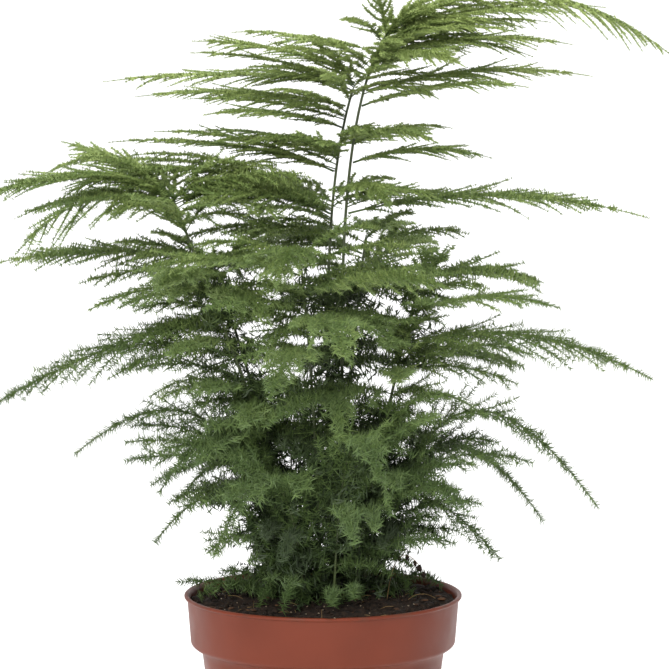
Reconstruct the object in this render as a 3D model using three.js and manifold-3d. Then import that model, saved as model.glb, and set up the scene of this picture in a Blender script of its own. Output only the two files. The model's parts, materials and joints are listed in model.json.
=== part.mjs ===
// A potted lace fern: a plastic nursery pot, its potting mix, the wiry stems that
// stand in it, the level feathery fronds on those stems, and the leafy shoots that
// arch straight out of the mix. Millimetres, +Z up, +X to the right and -Y to the
// front. The origin is the middle of the pot's underside, on the surface it stands on.
import * as THREE from 'three';
import { mergeVertices } from 'three/addons/utils/BufferGeometryUtils.js';
import Module from 'manifold-3d';

// Driving dimensions of the pot
const POT_HEIGHT = 130;
const LIP_RADIUS = 75;
const LIP_BEAD = 1.1;
const BAND_TOP_RADIUS = 73.4;
const BAND_FOOT_RADIUS = 71.5;
const BAND_HEIGHT = 28;
const BODY_TOP_RADIUS = 65.5;
const BODY_FOOT_RADIUS = 52.5;
const WALL = 1.6;
const CHAMFER = 1.5;
const FOOT_RING_HEIGHT = 3;
const FOOT_RING_WIDTH = 5;
const PAD_RADIUS = 14;
const FLOOR_THICKNESS = 2;
const POT_SIDES = 36;

// Drainage holes, on a ring in the raised part of the underside
const DRAIN_COUNT = 8;
const DRAIN_RADIUS = 4;
const DRAIN_RING_RADIUS = 31;
const DRAIN_SIDES = 8;
const DRAIN_CUT_DEPTH = 12;

// Potting mix
const SOIL_BELOW_LIP = 4;
const SOIL_GAP = 0.65;
const SOIL_MOUND = 2.5;
const SOIL_LUMP = 1.3;
const SOIL_EDGE_LUMP = 0.6;
const SOIL_RINGS = [13, 25, 37, 49, 60];
const SOIL_SIDES = POT_SIDES / 2;

// Stems, midribs, side branches and needles
const ROOTING_DEPTH = 31;
const HOLE_CLEARANCE = 0.85;
const HOLE_SIDES = 6;
const HOLE_RISE = 12;
const STEM_RADIUS = 1.05;
const STEM_END_RADIUS = 0.7;
const STEM_SIDES = 4;
const STEM_STEPS = 12;
const RIB_RADIUS = 0.8;
const RIB_END_RADIUS = 0.5;
const BRANCH_RADIUS = 0.55;
const NEEDLE_LENGTH = 5.2;
const NEEDLE_LEAN = 62 * Math.PI / 180;
const WHORL_LENGTH = 1.1;
const NODE_REACH = 0.6 * WHORL_LENGTH;
const NEEDLE_CLEAR_RADIUS = 0.42;
const CLEARANCE = 0.34;
const JOINT_GAP = 0.34;

const SOIL_LEVEL = POT_HEIGHT - SOIL_BELOW_LIP;

// Stems by the four points of a cubic curve, from the buried foot to the tip
const STEMS = [
  { name: 'stem_tall_left', points: [[7, 5, 95], [2, 8, 240], [-3, 4, 345], [17, 1, 404]] },
  { name: 'stem_tall_right', points: [[15, -3, 95], [9, -8, 250], [3, -4, 380], [34, -6, 431]] },
  { name: 'stem_left_shoulder', points: [[-8, -2, 95], [-14, -6, 190], [-52, -14, 270], [-79, -20, 344]] },
  { name: 'stem_left_middle', points: [[-14, 6, 95], [-18, 12, 180], [-40, 16, 250], [-60, 18, 308]] },
  { name: 'stem_front', points: [[0, -12, 95], [-2, -18, 190], [-6, -34, 270], [-12, -48, 316]] },
  { name: 'stem_back', points: [[8, 14, 95], [10, 20, 190], [16, 40, 270], [24, 54, 322]] },
  { name: 'stem_right_middle', points: [[20, 2, 95], [22, -2, 180], [38, -6, 250], [52, -10, 300]] },
];

// Fronds of each stem: height on the stem (or its end), tip, how far the middle
// of the midrib is drawn up, longest side branch, and how far the branches hang
const END = null;
const FRONDS = {
  stem_tall_left: [
    { at: 334, tip: [-70, -75, 343], crest: 16, wide: 42 },
    { at: 341, tip: [-52, 98, 350], crest: 10, wide: 44 },
    { at: 357, tip: [-88, -25, 379], crest: 12, wide: 34 },
    { at: 364, tip: [-32, 100, 373], crest: 8, wide: 42 },
    { at: 371, tip: [62, 74, 379], crest: 8, wide: 40 },
    { at: 380, tip: [-60, -78, 388], crest: 10, wide: 38 },
    { at: 391, tip: [-99, -20, 397], crest: 10, wide: 38 },
    { at: END, tip: [-119, 18, 405], crest: 9, wide: 42 },
  ],
  stem_tall_right: [
    { at: 334, tip: [173, -12, 333], crest: 22, wide: 40 },
    { at: 345, tip: [34, -112, 342], crest: 16, wide: 44 },
    { at: 362, tip: [89, -25, 365], crest: 12, wide: 34 },
    { at: 376, tip: [58, -94, 374], crest: 10, wide: 38 },
    { at: 392, tip: [105, -66, 402], crest: 12, wide: 38 },
    { at: 400, tip: [147, 34, 408], crest: 14, wide: 38 },
    { at: 408, tip: [-68, -34, 426], crest: 9, wide: 44 },
    { at: 414, tip: [70, -120, 412], crest: 14, wide: 44 },
    { at: 420, tip: [130, -40, 424], crest: 12, wide: 40 },
    { at: 426, tip: [62, 84, 446], crest: 10, wide: 42 },
    { at: END, tip: [194, -18, 410], crest: 60, wide: 40, hang: 0.42 },
  ],
  stem_left_shoulder: [
    { at: 326, tip: [-96, -88, 346], crest: 14, wide: 34 },
    { at: 331, tip: [-157, -66, 317], crest: 42, wide: 42, hang: 0.38 },
    { at: 337, tip: [-146, 66, 372], crest: 12, wide: 44 },
    { at: END, tip: [-184, -46, 341], crest: 26, wide: 42 },
  ],
  stem_left_middle: [
    { at: 278, tip: [-180, -22, 231], crest: 16, wide: 38 },
    { at: 289, tip: [-98, 100, 292], crest: 14, wide: 42 },
    { at: 299, tip: [-84, -100, 300], crest: 14, wide: 40 },
    { at: END, tip: [-180, 12, 307], crest: 12, wide: 42 },
  ],
  stem_front: [
    { at: 280, tip: [14, -142, 268], crest: 20, wide: 44 },
    { at: 294, tip: [64, -126, 303], crest: 16, wide: 44 },
    { at: 305, tip: [-94, -112, 311], crest: 14, wide: 44 },
    { at: END, tip: [-22, -152, 306], crest: 16, wide: 46 },
  ],
  stem_back: [
    { at: 284, tip: [-26, 146, 270], crest: 20, wide: 44 },
    { at: 298, tip: [64, 126, 316], crest: 14, wide: 44 },
    { at: 310, tip: [-60, 130, 318], crest: 12, wide: 44 },
    { at: END, tip: [42, 150, 312], crest: 16, wide: 46 },
  ],
  stem_right_middle: [
    { at: 252, tip: [112, 62, 246], crest: 18, wide: 40 },
    { at: 266, tip: [173, -30, 249], crest: 26, wide: 40 },
    { at: 283, tip: [122, -64, 289], crest: 14, wide: 36 },
    { at: END, tip: [119, 10, 297], crest: 12, wide: 42 },
  ],
};

// Shoots straight out of the mix: foot, tip, the height they climb towards, and
// the longest side branch
const SHOOTS = [
  { foot: [-15, -9], tip: [-92, -18, 238], peak: 268, wide: 38 },
  { foot: [-20, -2], tip: [-84, -68, 194], peak: 250, wide: 38 },
  { foot: [-21, 6], tip: [-135, 16, 203], peak: 258, wide: 38 },
  { foot: [-24, -11], tip: [-88, -44, 164], peak: 212, wide: 32 },
  { foot: [-17, 14], tip: [-80, 66, 172], peak: 224, wide: 36 },
  { foot: [15, -13], tip: [84, -52, 232], peak: 262, wide: 38 },
  { foot: [28, -4], tip: [147, -12, 178], peak: 272, wide: 36 },
  { foot: [24, 12], tip: [122, 44, 162], peak: 244, wide: 36 },
  { foot: [5, -23], tip: [34, -132, 192], peak: 256, wide: 40 },
  { foot: [-8, -22], tip: [-54, -112, 168], peak: 232, wide: 38 },
  { foot: [0, 22], tip: [-32, 134, 196], peak: 258, wide: 40 },
  { foot: [14, 22], tip: [64, 118, 178], peak: 244, wide: 38 },
];

// Spacing of the side branches along a midrib, the part of it that carries them,
// and their angles to it at the root and on the whole
const NODE_SPACING = 22.4;
const LAST_NODE = 0.86;
const ROOT_ANGLE = 62 * Math.PI / 180;
const REACH_ANGLE = 38 * Math.PI / 180;
const USUAL_HANG = 0.1;
const TWO_WHORLS_FROM = 37;
const SHORTEST_BRANCH = 9;
const ROOT_SKIP = 0.15;
const BRANCH_TRIES = [
  { share: 1, lift: 0 },
  { share: 1, lift: 0.12 },
  { share: 1, lift: -0.12 },
  { share: 0.8, lift: 0.05 },
  { share: 0.6, lift: 0 },
  { share: 0.45, lift: 0.1 },
];
const SWINGS = [0, 3, -3, 6, -6, 9, -9, 12, -12, 16, -16, 20, -20];
const LIFTS = [0, 4, -4, 8, -8];

const FROND_FORM = { radius: RIB_RADIUS, firstNode: 0.16 };
const SHOOT_FORM = { radius: STEM_RADIUS, firstNode: 0.33, sprayHeight: 142, hang: USUAL_HANG };

// The short spray low on each shoot, which droops over the mix
const LOW_SPRAY_REACH = 34;
const LOW_SPRAY_RISE = 10;
const LOW_SPRAY_FALL = 4;
const LEVEL_STEP = 0.005;
const LOW_SPRAY_TURNS = [0, 20, -20, 40, -40, 60, -60, 85, -85];

const COLOURS = {
  pot: 0x8e503e,
  soil: 0x2b211b,
  stem: 0x4b5a3a,
  frond: 0x54782f,
  shoot: 0x3f6630,
};

const UP = new THREE.Vector3(0, 0, 1);

const wasm = await Module();
wasm.setup();

// The same draws on every run
let state = 4198;
function draw() {
  state = state * 48271 % 2147483647;
  return state / 2147483647;
}

function vary(middle, spread) {
  return middle + spread * (2 * draw() - 1);
}

function vector(list) {
  return new THREE.Vector3(...list);
}

// Curves of the skeleton
function cubic(points) {
  return new THREE.CubicBezierCurve3(...points.map(vector));
}

function sample(curve, steps) {
  return Array.from({ length: steps + 1 }, (_, index) => curve.getPointAt(index / steps));
}

// The place on a line of points at a height: where it is, which way the line
// runs there, and its share of the whole
function placeAtHeight(points, height) {
  const index = Math.max(1, points.findIndex((point, step) => step > 0 && point.z >= height));
  const [low, high] = [points[index - 1], points[index]];
  const share = (height - low.z) / (high.z - low.z);
  return {
    joint: low.clone().lerp(high, share),
    along: high.clone().sub(low).normalize(),
    place: (index - 1 + share) / (points.length - 1),
  };
}

// What already stands in the air, as thick line pieces sorted into cells, so that
// what grows next keeps clear of it
const CELL = 12;
const cells = new Map();

function cellKeys(piece) {
  const low = piece.start.clone().min(piece.end).subScalar(piece.radius + CLEARANCE);
  const high = piece.start.clone().max(piece.end).addScalar(piece.radius + CLEARANCE);
  const [x0, y0, z0] = low.toArray().map((value) => Math.floor(value / CELL));
  const [x1, y1, z1] = high.toArray().map((value) => Math.floor(value / CELL));
  const keys = [];
  for (let x = x0; x <= x1; x += 1) {
    for (let y = y0; y <= y1; y += 1) {
      for (let z = z0; z <= z1; z += 1) keys.push(`${x},${y},${z}`);
    }
  }
  return keys;
}

function stand(pieces) {
  pieces.forEach((piece) => cellKeys(piece).forEach((key) => {
    if (!cells.has(key)) cells.set(key, []);
    cells.get(key).push(piece);
  }));
}

function segmentDistance(a, b, c, d) {
  const u = b.clone().sub(a);
  const v = d.clone().sub(c);
  const w = a.clone().sub(c);
  const uu = u.dot(u);
  const uv = u.dot(v);
  const vv = v.dot(v);
  const uw = u.dot(w);
  const vw = v.dot(w);
  const spread = uu * vv - uv * uv;
  let s = spread > 1e-9 ? THREE.MathUtils.clamp((uv * vw - vv * uw) / spread, 0, 1) : 0;
  let t = (uv * s + vw) / vv;
  if (t < 0) {
    t = 0;
    s = THREE.MathUtils.clamp(-uw / uu, 0, 1);
  } else if (t > 1) {
    t = 1;
    s = THREE.MathUtils.clamp((uv - uw) / uu, 0, 1);
  }
  const nearA = a.clone().addScaledVector(u, s);
  const nearB = c.clone().addScaledVector(v, t);
  return nearA.distanceTo(nearB);
}

function rod(start, end, radius, tag) {
  return { start, end, radius, tag };
}

function rodsAlong(points, radius, tag) {
  return points.slice(1).map((point, index) => rod(points[index], point, radius, tag));
}

function isClear(rods, ignore) {
  return rods.every((one) => cellKeys(one).every((key) => (cells.get(key) ?? []).every((other) => {
    if (ignore(other)) return true;
    const gap = segmentDistance(one.start, one.end, other.start, other.end);
    return gap - one.radius - other.radius > CLEARANCE;
  })));
}

// A skin that grows: rings joined by bands, faces drawn out into spikes or branches
class Skin {
  constructor() {
    this.points = [];
    this.faces = [];
  }

  point(place) {
    this.points.push(place.clone());
    return this.points.length - 1;
  }

  face(a, b, c) {
    this.faces.push([a, b, c]);
    return this.faces.length - 1;
  }

  ring(centre, spokes) {
    return spokes.map((spoke) => this.point(centre.clone().add(spoke)));
  }

  band(from, to) {
    return from.map((first, index) => {
      const next = (index + 1) % from.length;
      const rear = this.face(first, from[next], to[next]);
      const fore = this.face(first, to[next], to[index]);
      return [rear, fore];
    });
  }

  cap(ring) {
    for (let index = 1; index < ring.length - 1; index += 1) {
      this.face(ring[0], ring[index + 1], ring[index]);
    }
  }

  close(ring, tip) {
    const peak = this.point(tip);
    ring.forEach((first, index) => this.face(first, ring[(index + 1) % ring.length], peak));
  }

  spike(index, tip) {
    const [a, b, c] = this.faces[index];
    const peak = this.point(tip);
    this.faces[index] = [a, b, peak];
    this.face(b, c, peak);
    this.face(c, a, peak);
  }

  open(index) {
    const corners = this.faces[index];
    this.faces[index] = null;
    return corners;
  }

  centre(corners) {
    const sum = new THREE.Vector3();
    corners.forEach((corner) => sum.add(this.points[corner]));
    return sum.divideScalar(corners.length);
  }

  geometry() {
    const geometry = new THREE.BufferGeometry();
    const places = this.points.flatMap((place) => place.toArray());
    geometry.setAttribute('position', new THREE.Float32BufferAttribute(places, 3));
    geometry.setIndex(this.faces.filter((face) => face !== null).flat());
    return geometry;
  }
}

// Spokes of a ring round a direction, its first one as near up as it can be
function uprightSpokes(direction, radius, sides) {
  const side = direction.clone().cross(UP).normalize();
  const up = side.clone().cross(direction).normalize();
  return Array.from({ length: sides }, (_, index) => (
    up.clone().multiplyScalar(radius).applyAxisAngle(direction, index * 2 * Math.PI / sides)
  ));
}

// Spokes of a ring that follow the turn of the ring or face before it
function followingSpokes(skin, corners, direction, radius) {
  const centre = skin.centre(corners);
  const turn = 2 * Math.PI / corners.length;
  const first = new THREE.Vector3();
  corners.forEach((corner, index) => {
    const spoke = skin.points[corner].clone().sub(centre).projectOnPlane(direction).normalize();
    first.add(spoke.applyAxisAngle(direction, -index * turn));
  });
  first.projectOnPlane(direction).setLength(radius);
  return corners.map((_, index) => first.clone().applyAxisAngle(direction, index * turn));
}

// A ring of needles on the short band between two rings. Each needle is kept only
// where it stays clear of everything else
function growWhorl(skin, band, centre, direction, tag) {
  const grown = [];
  band.flat().forEach((index) => {
    const root = skin.centre(skin.faces[index]);
    const out = root.clone().sub(centre).projectOnPlane(direction).normalize();
    const lean = NEEDLE_LEAN + vary(0, 0.12);
    const aim = out.multiplyScalar(Math.sin(lean)).addScaledVector(direction, Math.cos(lean));
    const tip = root.clone().addScaledVector(aim, NEEDLE_LENGTH * vary(1, 0.14));
    const clearOfRoot = root.clone().lerp(tip, 0.2);
    const needle = rod(clearOfRoot, tip, NEEDLE_CLEAR_RADIUS, { ...tag, whorl: centre });
    const near = (other) => other.tag.branch === tag.branch && other.tag.whorl === undefined;
    if (!isClear([needle], near)) return;
    skin.spike(index, tip);
    grown.push(needle);
  });
  return grown;
}

// Where the whorls of needles sit along a side branch
function whorlPlaces(path) {
  return path.getLength() > TWO_WHORLS_FROM ? [0.4, 0.74] : [0.56];
}

// A side branch from a face of the midrib, with its whorls of needles
function growBranch(skin, index, path) {
  const whorls = [];
  let corners = skin.open(index);
  whorlPlaces(path).forEach((place) => {
    const direction = path.getTangent(place);
    const centre = path.getPoint(place);
    const spokes = followingSpokes(skin, corners, direction, BRANCH_RADIUS);
    const rear = skin.ring(centre.clone().addScaledVector(direction, -WHORL_LENGTH / 2), spokes);
    const fore = skin.ring(centre.clone().addScaledVector(direction, WHORL_LENGTH / 2), spokes);
    skin.band(corners, rear);
    whorls.push({ whorl: skin.band(rear, fore), centre, direction });
    corners = fore;
  });
  skin.close(corners, path.getPoint(1));
  return whorls;
}

function branchPath(root, along, side, length, hang) {
  const heading = (angle, reach) => (
    along.clone().multiplyScalar(reach * Math.cos(angle)).addScaledVector(side, reach * Math.sin(angle))
  );
  const drop = new THREE.Vector3(0, 0, -hang * length);
  const middle = root.clone().add(heading(ROOT_ANGLE, length / 2)).addScaledVector(drop, 0.15);
  const tip = root.clone().add(heading(REACH_ANGLE, length)).add(drop);
  return new THREE.QuadraticBezierCurve3(root, middle, tip);
}

// How long the side branches are at a place along the midrib, from 0 to 1
function outline(place) {
  const rise = Math.min(1, 0.72 + 1.6 * place);
  const fall = 1 - 0.72 * place ** 1.4;
  return rise * fall;
}

// Shares of a midrib's length at which side branches leave it
function nodePlaces(path, { firstNode }) {
  const leafy = LAST_NODE - firstNode;
  const count = Math.max(3, Math.round(path.getLength() * leafy / NODE_SPACING));
  return Array.from({ length: count }, (_, index) => firstNode + leafy * index / (count - 1));
}

// Where a short spray leaves a shoot: fronds have none
function sprayPlaces(path, { sprayHeight }) {
  if (!sprayHeight) return [];
  let place = 0;
  while (path.getPointAt(place).z < sprayHeight) place += LEVEL_STEP;
  return [place];
}

function midribPoints(path, spec) {
  const places = [0, ...sprayPlaces(path, spec), ...nodePlaces(path, spec), 1];
  return places.map((place) => path.getPointAt(place));
}

// Two rings close together along a midrib, with the faces between them
function nodeRings(skin, ring, path, place, radius) {
  const direction = path.getTangentAt(place);
  const centre = path.getPointAt(place);
  const spokes = uprightSpokes(direction, radius, 3);
  const [rear, fore] = [-NODE_REACH, NODE_REACH].map((shift) => (
    skin.ring(centre.clone().addScaledVector(direction, shift), spokes)
  ));
  skin.band(ring, rear);
  return { direction, centre, sides: skin.band(rear, fore), fore };
}

// The first of several curves for a branch that is clear of all that stands, grown
function growFirstClear(skin, index, curves, tag) {
  const nearRib = (other) => other.tag.node === tag.node && other.tag.branch === 'rib';
  for (const curve of curves) {
    const points = [...whorlPlaces(curve), 1].map((share) => curve.getPoint(share));
    const start = curve.getPoint(0).lerp(points[0], ROOT_SKIP);
    const rods = rodsAlong([start, ...points], BRANCH_RADIUS, tag);
    if (isClear(rods, nearRib)) {
      stand(rods);
      return growBranch(skin, index, curve).map((whorl) => ({ ...whorl, tag }));
    }
  }
  return [];
}

// A short spray from the outer side of a shoot, low over the mix
function growLowSpray(skin, { centre, sides }, name) {
  const outward = new THREE.Vector3(centre.x, centre.y, 0).normalize();
  const facing = (index) => skin.centre(skin.faces[index]).sub(centre).dot(outward);
  const index = sides.flat().reduce((best, one) => (facing(one) > facing(best) ? one : best));
  const root = skin.centre(skin.faces[index]);
  const curves = LOW_SPRAY_TURNS.map((turn) => {
    const out = outward.clone().applyAxisAngle(UP, turn * Math.PI / 180);
    const away = (reach, rise) => root.clone().addScaledVector(out, reach).addScaledVector(UP, rise);
    const middle = away(LOW_SPRAY_REACH / 2, LOW_SPRAY_RISE);
    return new THREE.QuadraticBezierCurve3(root, middle, away(LOW_SPRAY_REACH, -LOW_SPRAY_FALL));
  });
  return growFirstClear(skin, index, curves, { node: name, branch: 'low' });
}

// The midrib of a frond or shoot with all that grows on it, as one closed skin
function growFrond(path, spec, name) {
  const skin = new Skin();
  const pending = [];
  const ribRadius = (place) => THREE.MathUtils.lerp(spec.radius, RIB_END_RADIUS, place);
  const startDirection = path.getTangentAt(0);
  let ring = skin.ring(path.getPointAt(0), uprightSpokes(startDirection, spec.radius, 3));
  skin.cap(ring);
  sprayPlaces(path, spec).forEach((place) => {
    const node = nodeRings(skin, ring, path, place, ribRadius(place));
    pending.push(...growLowSpray(skin, node, name));
    ring = node.fore;
  });
  nodePlaces(path, spec).forEach((place, node) => {
    const { direction, centre, sides, fore } = nodeRings(skin, ring, path, place, ribRadius(place));
    ring = fore;
    const side = direction.clone().cross(UP).normalize();
    const within = (place - spec.firstNode) / (LAST_NODE - spec.firstNode);
    [[sides[0][0], side], [sides[2][1], side.clone().negate()]].forEach(([index, out], which) => {
      const root = skin.centre(skin.faces[index]);
      const full = spec.wide * outline(within) * vary(1, 0.14);
      const curves = BRANCH_TRIES
        .filter(({ share }) => full * share >= SHORTEST_BRANCH)
        .map(({ share, lift }) => branchPath(root, direction, out, full * share, spec.hang - lift));
      pending.push(...growFirstClear(skin, index, curves, { node: name, branch: `${node}:${which}` }));
    });
    const free = [sides[1], [sides[0][1], sides[2][0]]];
    pending.push({ whorl: free, centre, direction, tag: { node: name, branch: 'rib' } });
  });
  skin.close(ring, path.getPointAt(1));
  return { skin, pending };
}

// Needles are drawn out last, when every midrib and branch is in place
function growNeedles({ skin, pending }) {
  pending.forEach(({ whorl, centre, direction, tag }) => {
    stand(growWhorl(skin, whorl, centre, direction, tag));
  });
}

function turnedRound(pivot, point, angle) {
  return point.clone().sub(pivot).applyAxisAngle(UP, angle).add(pivot);
}

function frondCurve(start, tip, crest) {
  const middle = start.clone().lerp(tip, 0.5).add(new THREE.Vector3(0, 0, crest));
  return new THREE.QuadraticBezierCurve3(start, middle, tip);
}

// Where a midrib starts: a hair clear of the side of its stem, or of its end
function jointStart(joint, along, heading, at, stemRadius) {
  const share = heading.dot(along);
  const across = Math.sqrt(Math.max(0, 1 - share * share));
  if (at === END) return joint.clone().addScaledVector(along, JOINT_GAP + RIB_RADIUS * across);
  const out = heading.clone().addScaledVector(along, -share).normalize();
  return joint.clone().addScaledVector(out, stemRadius + JOINT_GAP + RIB_RADIUS * Math.abs(share));
}

// A midrib is swung a little about its root until it is clear of its neighbours
function settleMidrib(makeCurve, spec, name, ignore) {
  for (const swing of SWINGS) {
    for (const lift of LIFTS) {
      const curve = makeCurve(swing * Math.PI / 180, lift);
      const rods = rodsAlong(midribPoints(curve, spec), spec.radius, { node: name, branch: 'rib' });
      if (isClear(rods, ignore)) {
        stand(rods);
        return curve;
      }
    }
  }
  throw new Error(`${name} has no clear way`);
}

function namedMesh(name, geometry, colour, roughness) {
  const material = new THREE.MeshStandardMaterial({ color: colour, roughness, metalness: 0 });
  const mesh = new THREE.Mesh(geometry, material);
  mesh.name = name;
  return mesh;
}

function solid(geometry) {
  const bare = geometry.clone();
  bare.deleteAttribute('normal');
  bare.deleteAttribute('uv');
  const merged = mergeVertices(bare, 1e-4);
  return new wasm.Manifold(new wasm.Mesh({
    numProp: 3,
    vertProperties: new Float32Array(merged.attributes.position.array),
    triVerts: new Uint32Array(merged.index.array),
  }));
}

function fromSolid(body) {
  const mesh = body.getMesh();
  const geometry = new THREE.BufferGeometry();
  geometry.setAttribute('position', new THREE.Float32BufferAttribute(mesh.vertProperties, 3));
  geometry.setIndex(new THREE.Uint32BufferAttribute(mesh.triVerts, 1));
  return geometry;
}

// Heights of the pot's profile, and its inside radius within the band
const BAND_FOOT = POT_HEIGHT - BAND_HEIGHT;
const LIP_FOOT = POT_HEIGHT - 2 * LIP_BEAD;
const INNER_STEP = BAND_FOOT + 2 * CHAMFER;
const INNER_FLOOR = FOOT_RING_HEIGHT + FLOOR_THICKNESS;

function bandInnerRadius(height) {
  const share = (height - INNER_STEP) / (LIP_FOOT - INNER_STEP);
  return THREE.MathUtils.lerp(BAND_FOOT_RADIUS, BAND_TOP_RADIUS, share) - WALL;
}

// The pot: one lathe profile, from the pad under it up the outside, over the
// rolled lip and down the inside, with the drainage holes cut out
function makePot() {
  const footInner = BODY_FOOT_RADIUS - FOOT_RING_WIDTH;
  const profile = [
    [0, 0],
    [PAD_RADIUS, 0],
    [PAD_RADIUS + CHAMFER, FOOT_RING_HEIGHT],
    [footInner, FOOT_RING_HEIGHT],
    [footInner + CHAMFER, 0],
    [BODY_FOOT_RADIUS - CHAMFER, 0],
    [BODY_FOOT_RADIUS, CHAMFER],
    [BODY_TOP_RADIUS, BAND_FOOT - 2 * CHAMFER],
    [BODY_TOP_RADIUS + CHAMFER, BAND_FOOT - CHAMFER / 2],
    [BAND_FOOT_RADIUS - CHAMFER, BAND_FOOT],
    [BAND_FOOT_RADIUS, BAND_FOOT + CHAMFER],
    [BAND_TOP_RADIUS, LIP_FOOT],
    [LIP_RADIUS, POT_HEIGHT - 1.5 * LIP_BEAD],
    [LIP_RADIUS, POT_HEIGHT - 0.5 * LIP_BEAD],
    [LIP_RADIUS - LIP_BEAD, POT_HEIGHT],
    [BAND_TOP_RADIUS - WALL / 2, POT_HEIGHT - 0.5 * LIP_BEAD],
    [bandInnerRadius(LIP_FOOT), LIP_FOOT],
    [bandInnerRadius(INNER_STEP), INNER_STEP],
    [BODY_TOP_RADIUS - WALL, BAND_FOOT - CHAMFER],
    [BODY_FOOT_RADIUS - WALL, INNER_FLOOR],
    [0, INNER_FLOOR],
  ].map(([radius, height]) => new THREE.Vector2(radius, height));
  const body = new THREE.LatheGeometry(profile, POT_SIDES);
  body.rotateX(Math.PI / 2);
  let pot = solid(body);
  for (let index = 0; index < DRAIN_COUNT; index += 1) {
    const angle = (index + 0.5) * 2 * Math.PI / DRAIN_COUNT;
    const hole = new THREE.CylinderGeometry(DRAIN_RADIUS, DRAIN_RADIUS, DRAIN_CUT_DEPTH, DRAIN_SIDES);
    hole.rotateX(Math.PI / 2);
    hole.translate(DRAIN_RING_RADIUS, 0, FOOT_RING_HEIGHT);
    hole.rotateZ(angle);
    pot = pot.subtract(solid(hole));
  }
  return namedMesh('pot', fromSolid(pot), COLOURS.pot, 0.45);
}

function circle(skin, radius, height, lump) {
  return Array.from({ length: SOIL_SIDES }, (_, index) => {
    const angle = index * 2 * Math.PI / SOIL_SIDES;
    const level = vary(height, lump);
    return skin.point(new THREE.Vector3(radius * Math.cos(angle), radius * Math.sin(angle), level));
  });
}

// A plain hole along the buried stretch of a stem
function stemHole(points) {
  const low = points[0];
  const high = placeAtHeight(points, SOIL_LEVEL + HOLE_RISE).joint;
  const direction = high.clone().sub(low).normalize();
  const depth = low.distanceTo(high) + 2 * HOLE_CLEARANCE;
  const radius = STEM_RADIUS + HOLE_CLEARANCE;
  const hole = new THREE.CylinderGeometry(radius, radius, depth, HOLE_SIDES);
  hole.rotateX(Math.PI / 2);
  hole.applyQuaternion(new THREE.Quaternion().setFromUnitVectors(UP, direction));
  const middle = low.clone().addScaledVector(direction, depth / 2 - HOLE_CLEARANCE);
  hole.translate(middle.x, middle.y, middle.z);
  return solid(hole);
}

// The mix fills the pot to below the lip. Its top is mounded and lumpy, and its
// sides follow the inside of the pot
function makeSoil(feet) {
  const edgeRadius = bandInnerRadius(SOIL_LEVEL - SOIL_EDGE_LUMP) - SOIL_GAP;
  const skin = new Skin();
  const middle = skin.point(new THREE.Vector3(0, 0, SOIL_LEVEL + SOIL_MOUND));
  const rings = SOIL_RINGS.map((radius) => {
    const mound = SOIL_MOUND * (1 - (radius / edgeRadius) ** 2);
    return circle(skin, radius, SOIL_LEVEL + mound, SOIL_LUMP);
  });
  rings[0].forEach((first, index) => skin.face(middle, first, rings[0][(index + 1) % SOIL_SIDES]));
  const edge = circle(skin, edgeRadius, SOIL_LEVEL, SOIL_EDGE_LUMP);
  const shelf = circle(skin, bandInnerRadius(INNER_STEP) - SOIL_GAP, INNER_STEP + SOIL_GAP, 0);
  const throat = circle(skin, BODY_TOP_RADIUS - WALL - SOIL_GAP, BAND_FOOT - CHAMFER, 0);
  const foot = circle(skin, BODY_FOOT_RADIUS - WALL - SOIL_GAP, INNER_FLOOR + SOIL_GAP / 2, 0);
  const stack = [...rings, edge, shelf, throat, foot];
  stack.slice(1).forEach((outer, index) => skin.band(outer, stack[index]));
  const under = skin.point(new THREE.Vector3(0, 0, INNER_FLOOR + SOIL_GAP / 2));
  foot.forEach((first, index) => skin.face(under, foot[(index + 1) % SOIL_SIDES], first));
  const soil = feet.reduce((body, points) => body.subtract(stemHole(points)), solid(skin.geometry()));
  return namedMesh('potting_mix', fromSolid(soil), COLOURS.soil, 1);
}

function makeStem(points, name) {
  const skin = new Skin();
  let ring = null;
  points.forEach((point, step) => {
    const before = points[Math.max(0, step - 1)];
    const after = points[Math.min(points.length - 1, step + 1)];
    const direction = after.clone().sub(before).normalize();
    const radius = THREE.MathUtils.lerp(STEM_RADIUS, STEM_END_RADIUS, step / (points.length - 1));
    const spokes = ring === null
      ? uprightSpokes(direction, radius, STEM_SIDES)
      : followingSpokes(skin, ring, direction, radius);
    const next = skin.ring(point, spokes);
    if (ring === null) skin.cap(next);
    else skin.band(ring, next);
    ring = next;
  });
  skin.cap([...ring].reverse());
  return namedMesh(name, skin.geometry(), COLOURS.stem, 0.7);
}

const plant = new THREE.Group();
const stemLines = new Map(STEMS.map(({ name, points }) => [name, sample(cubic(points), STEM_STEPS)]));
stemLines.forEach((points, name) => {
  stand(rodsAlong(points, STEM_RADIUS, { node: name, branch: 'stem' }));
});

// Shoots are settled before the fronds, because they stand in the mix
const grown = [];
const feet = [...stemLines.values()];
SHOOTS.forEach((row, index) => {
  const name = `shoot_${String(index + 1).padStart(2, '0')}`;
  const foot = new THREE.Vector3(row.foot[0], row.foot[1], SOIL_LEVEL - ROOTING_DEPTH);
  const tip = vector(row.tip);
  const level = (share, height) => new THREE.Vector3(
    THREE.MathUtils.lerp(foot.x, tip.x, share),
    THREE.MathUtils.lerp(foot.y, tip.y, share),
    height,
  );
  const makeCurve = (swing, lift) => {
    const shoulder = turnedRound(foot, level(0.45, row.peak + lift), swing);
    const end = turnedRound(foot, tip, swing);
    end.z += lift;
    return new THREE.CubicBezierCurve3(foot, level(0.06, row.peak * 0.86), shoulder, end);
  };
  const spec = { ...row, ...SHOOT_FORM };
  const curve = settleMidrib(makeCurve, spec, name, () => false);
  feet.push(midribPoints(curve, spec));
  grown.push({ name, curve, spec, colour: COLOURS.shoot });
});

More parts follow.
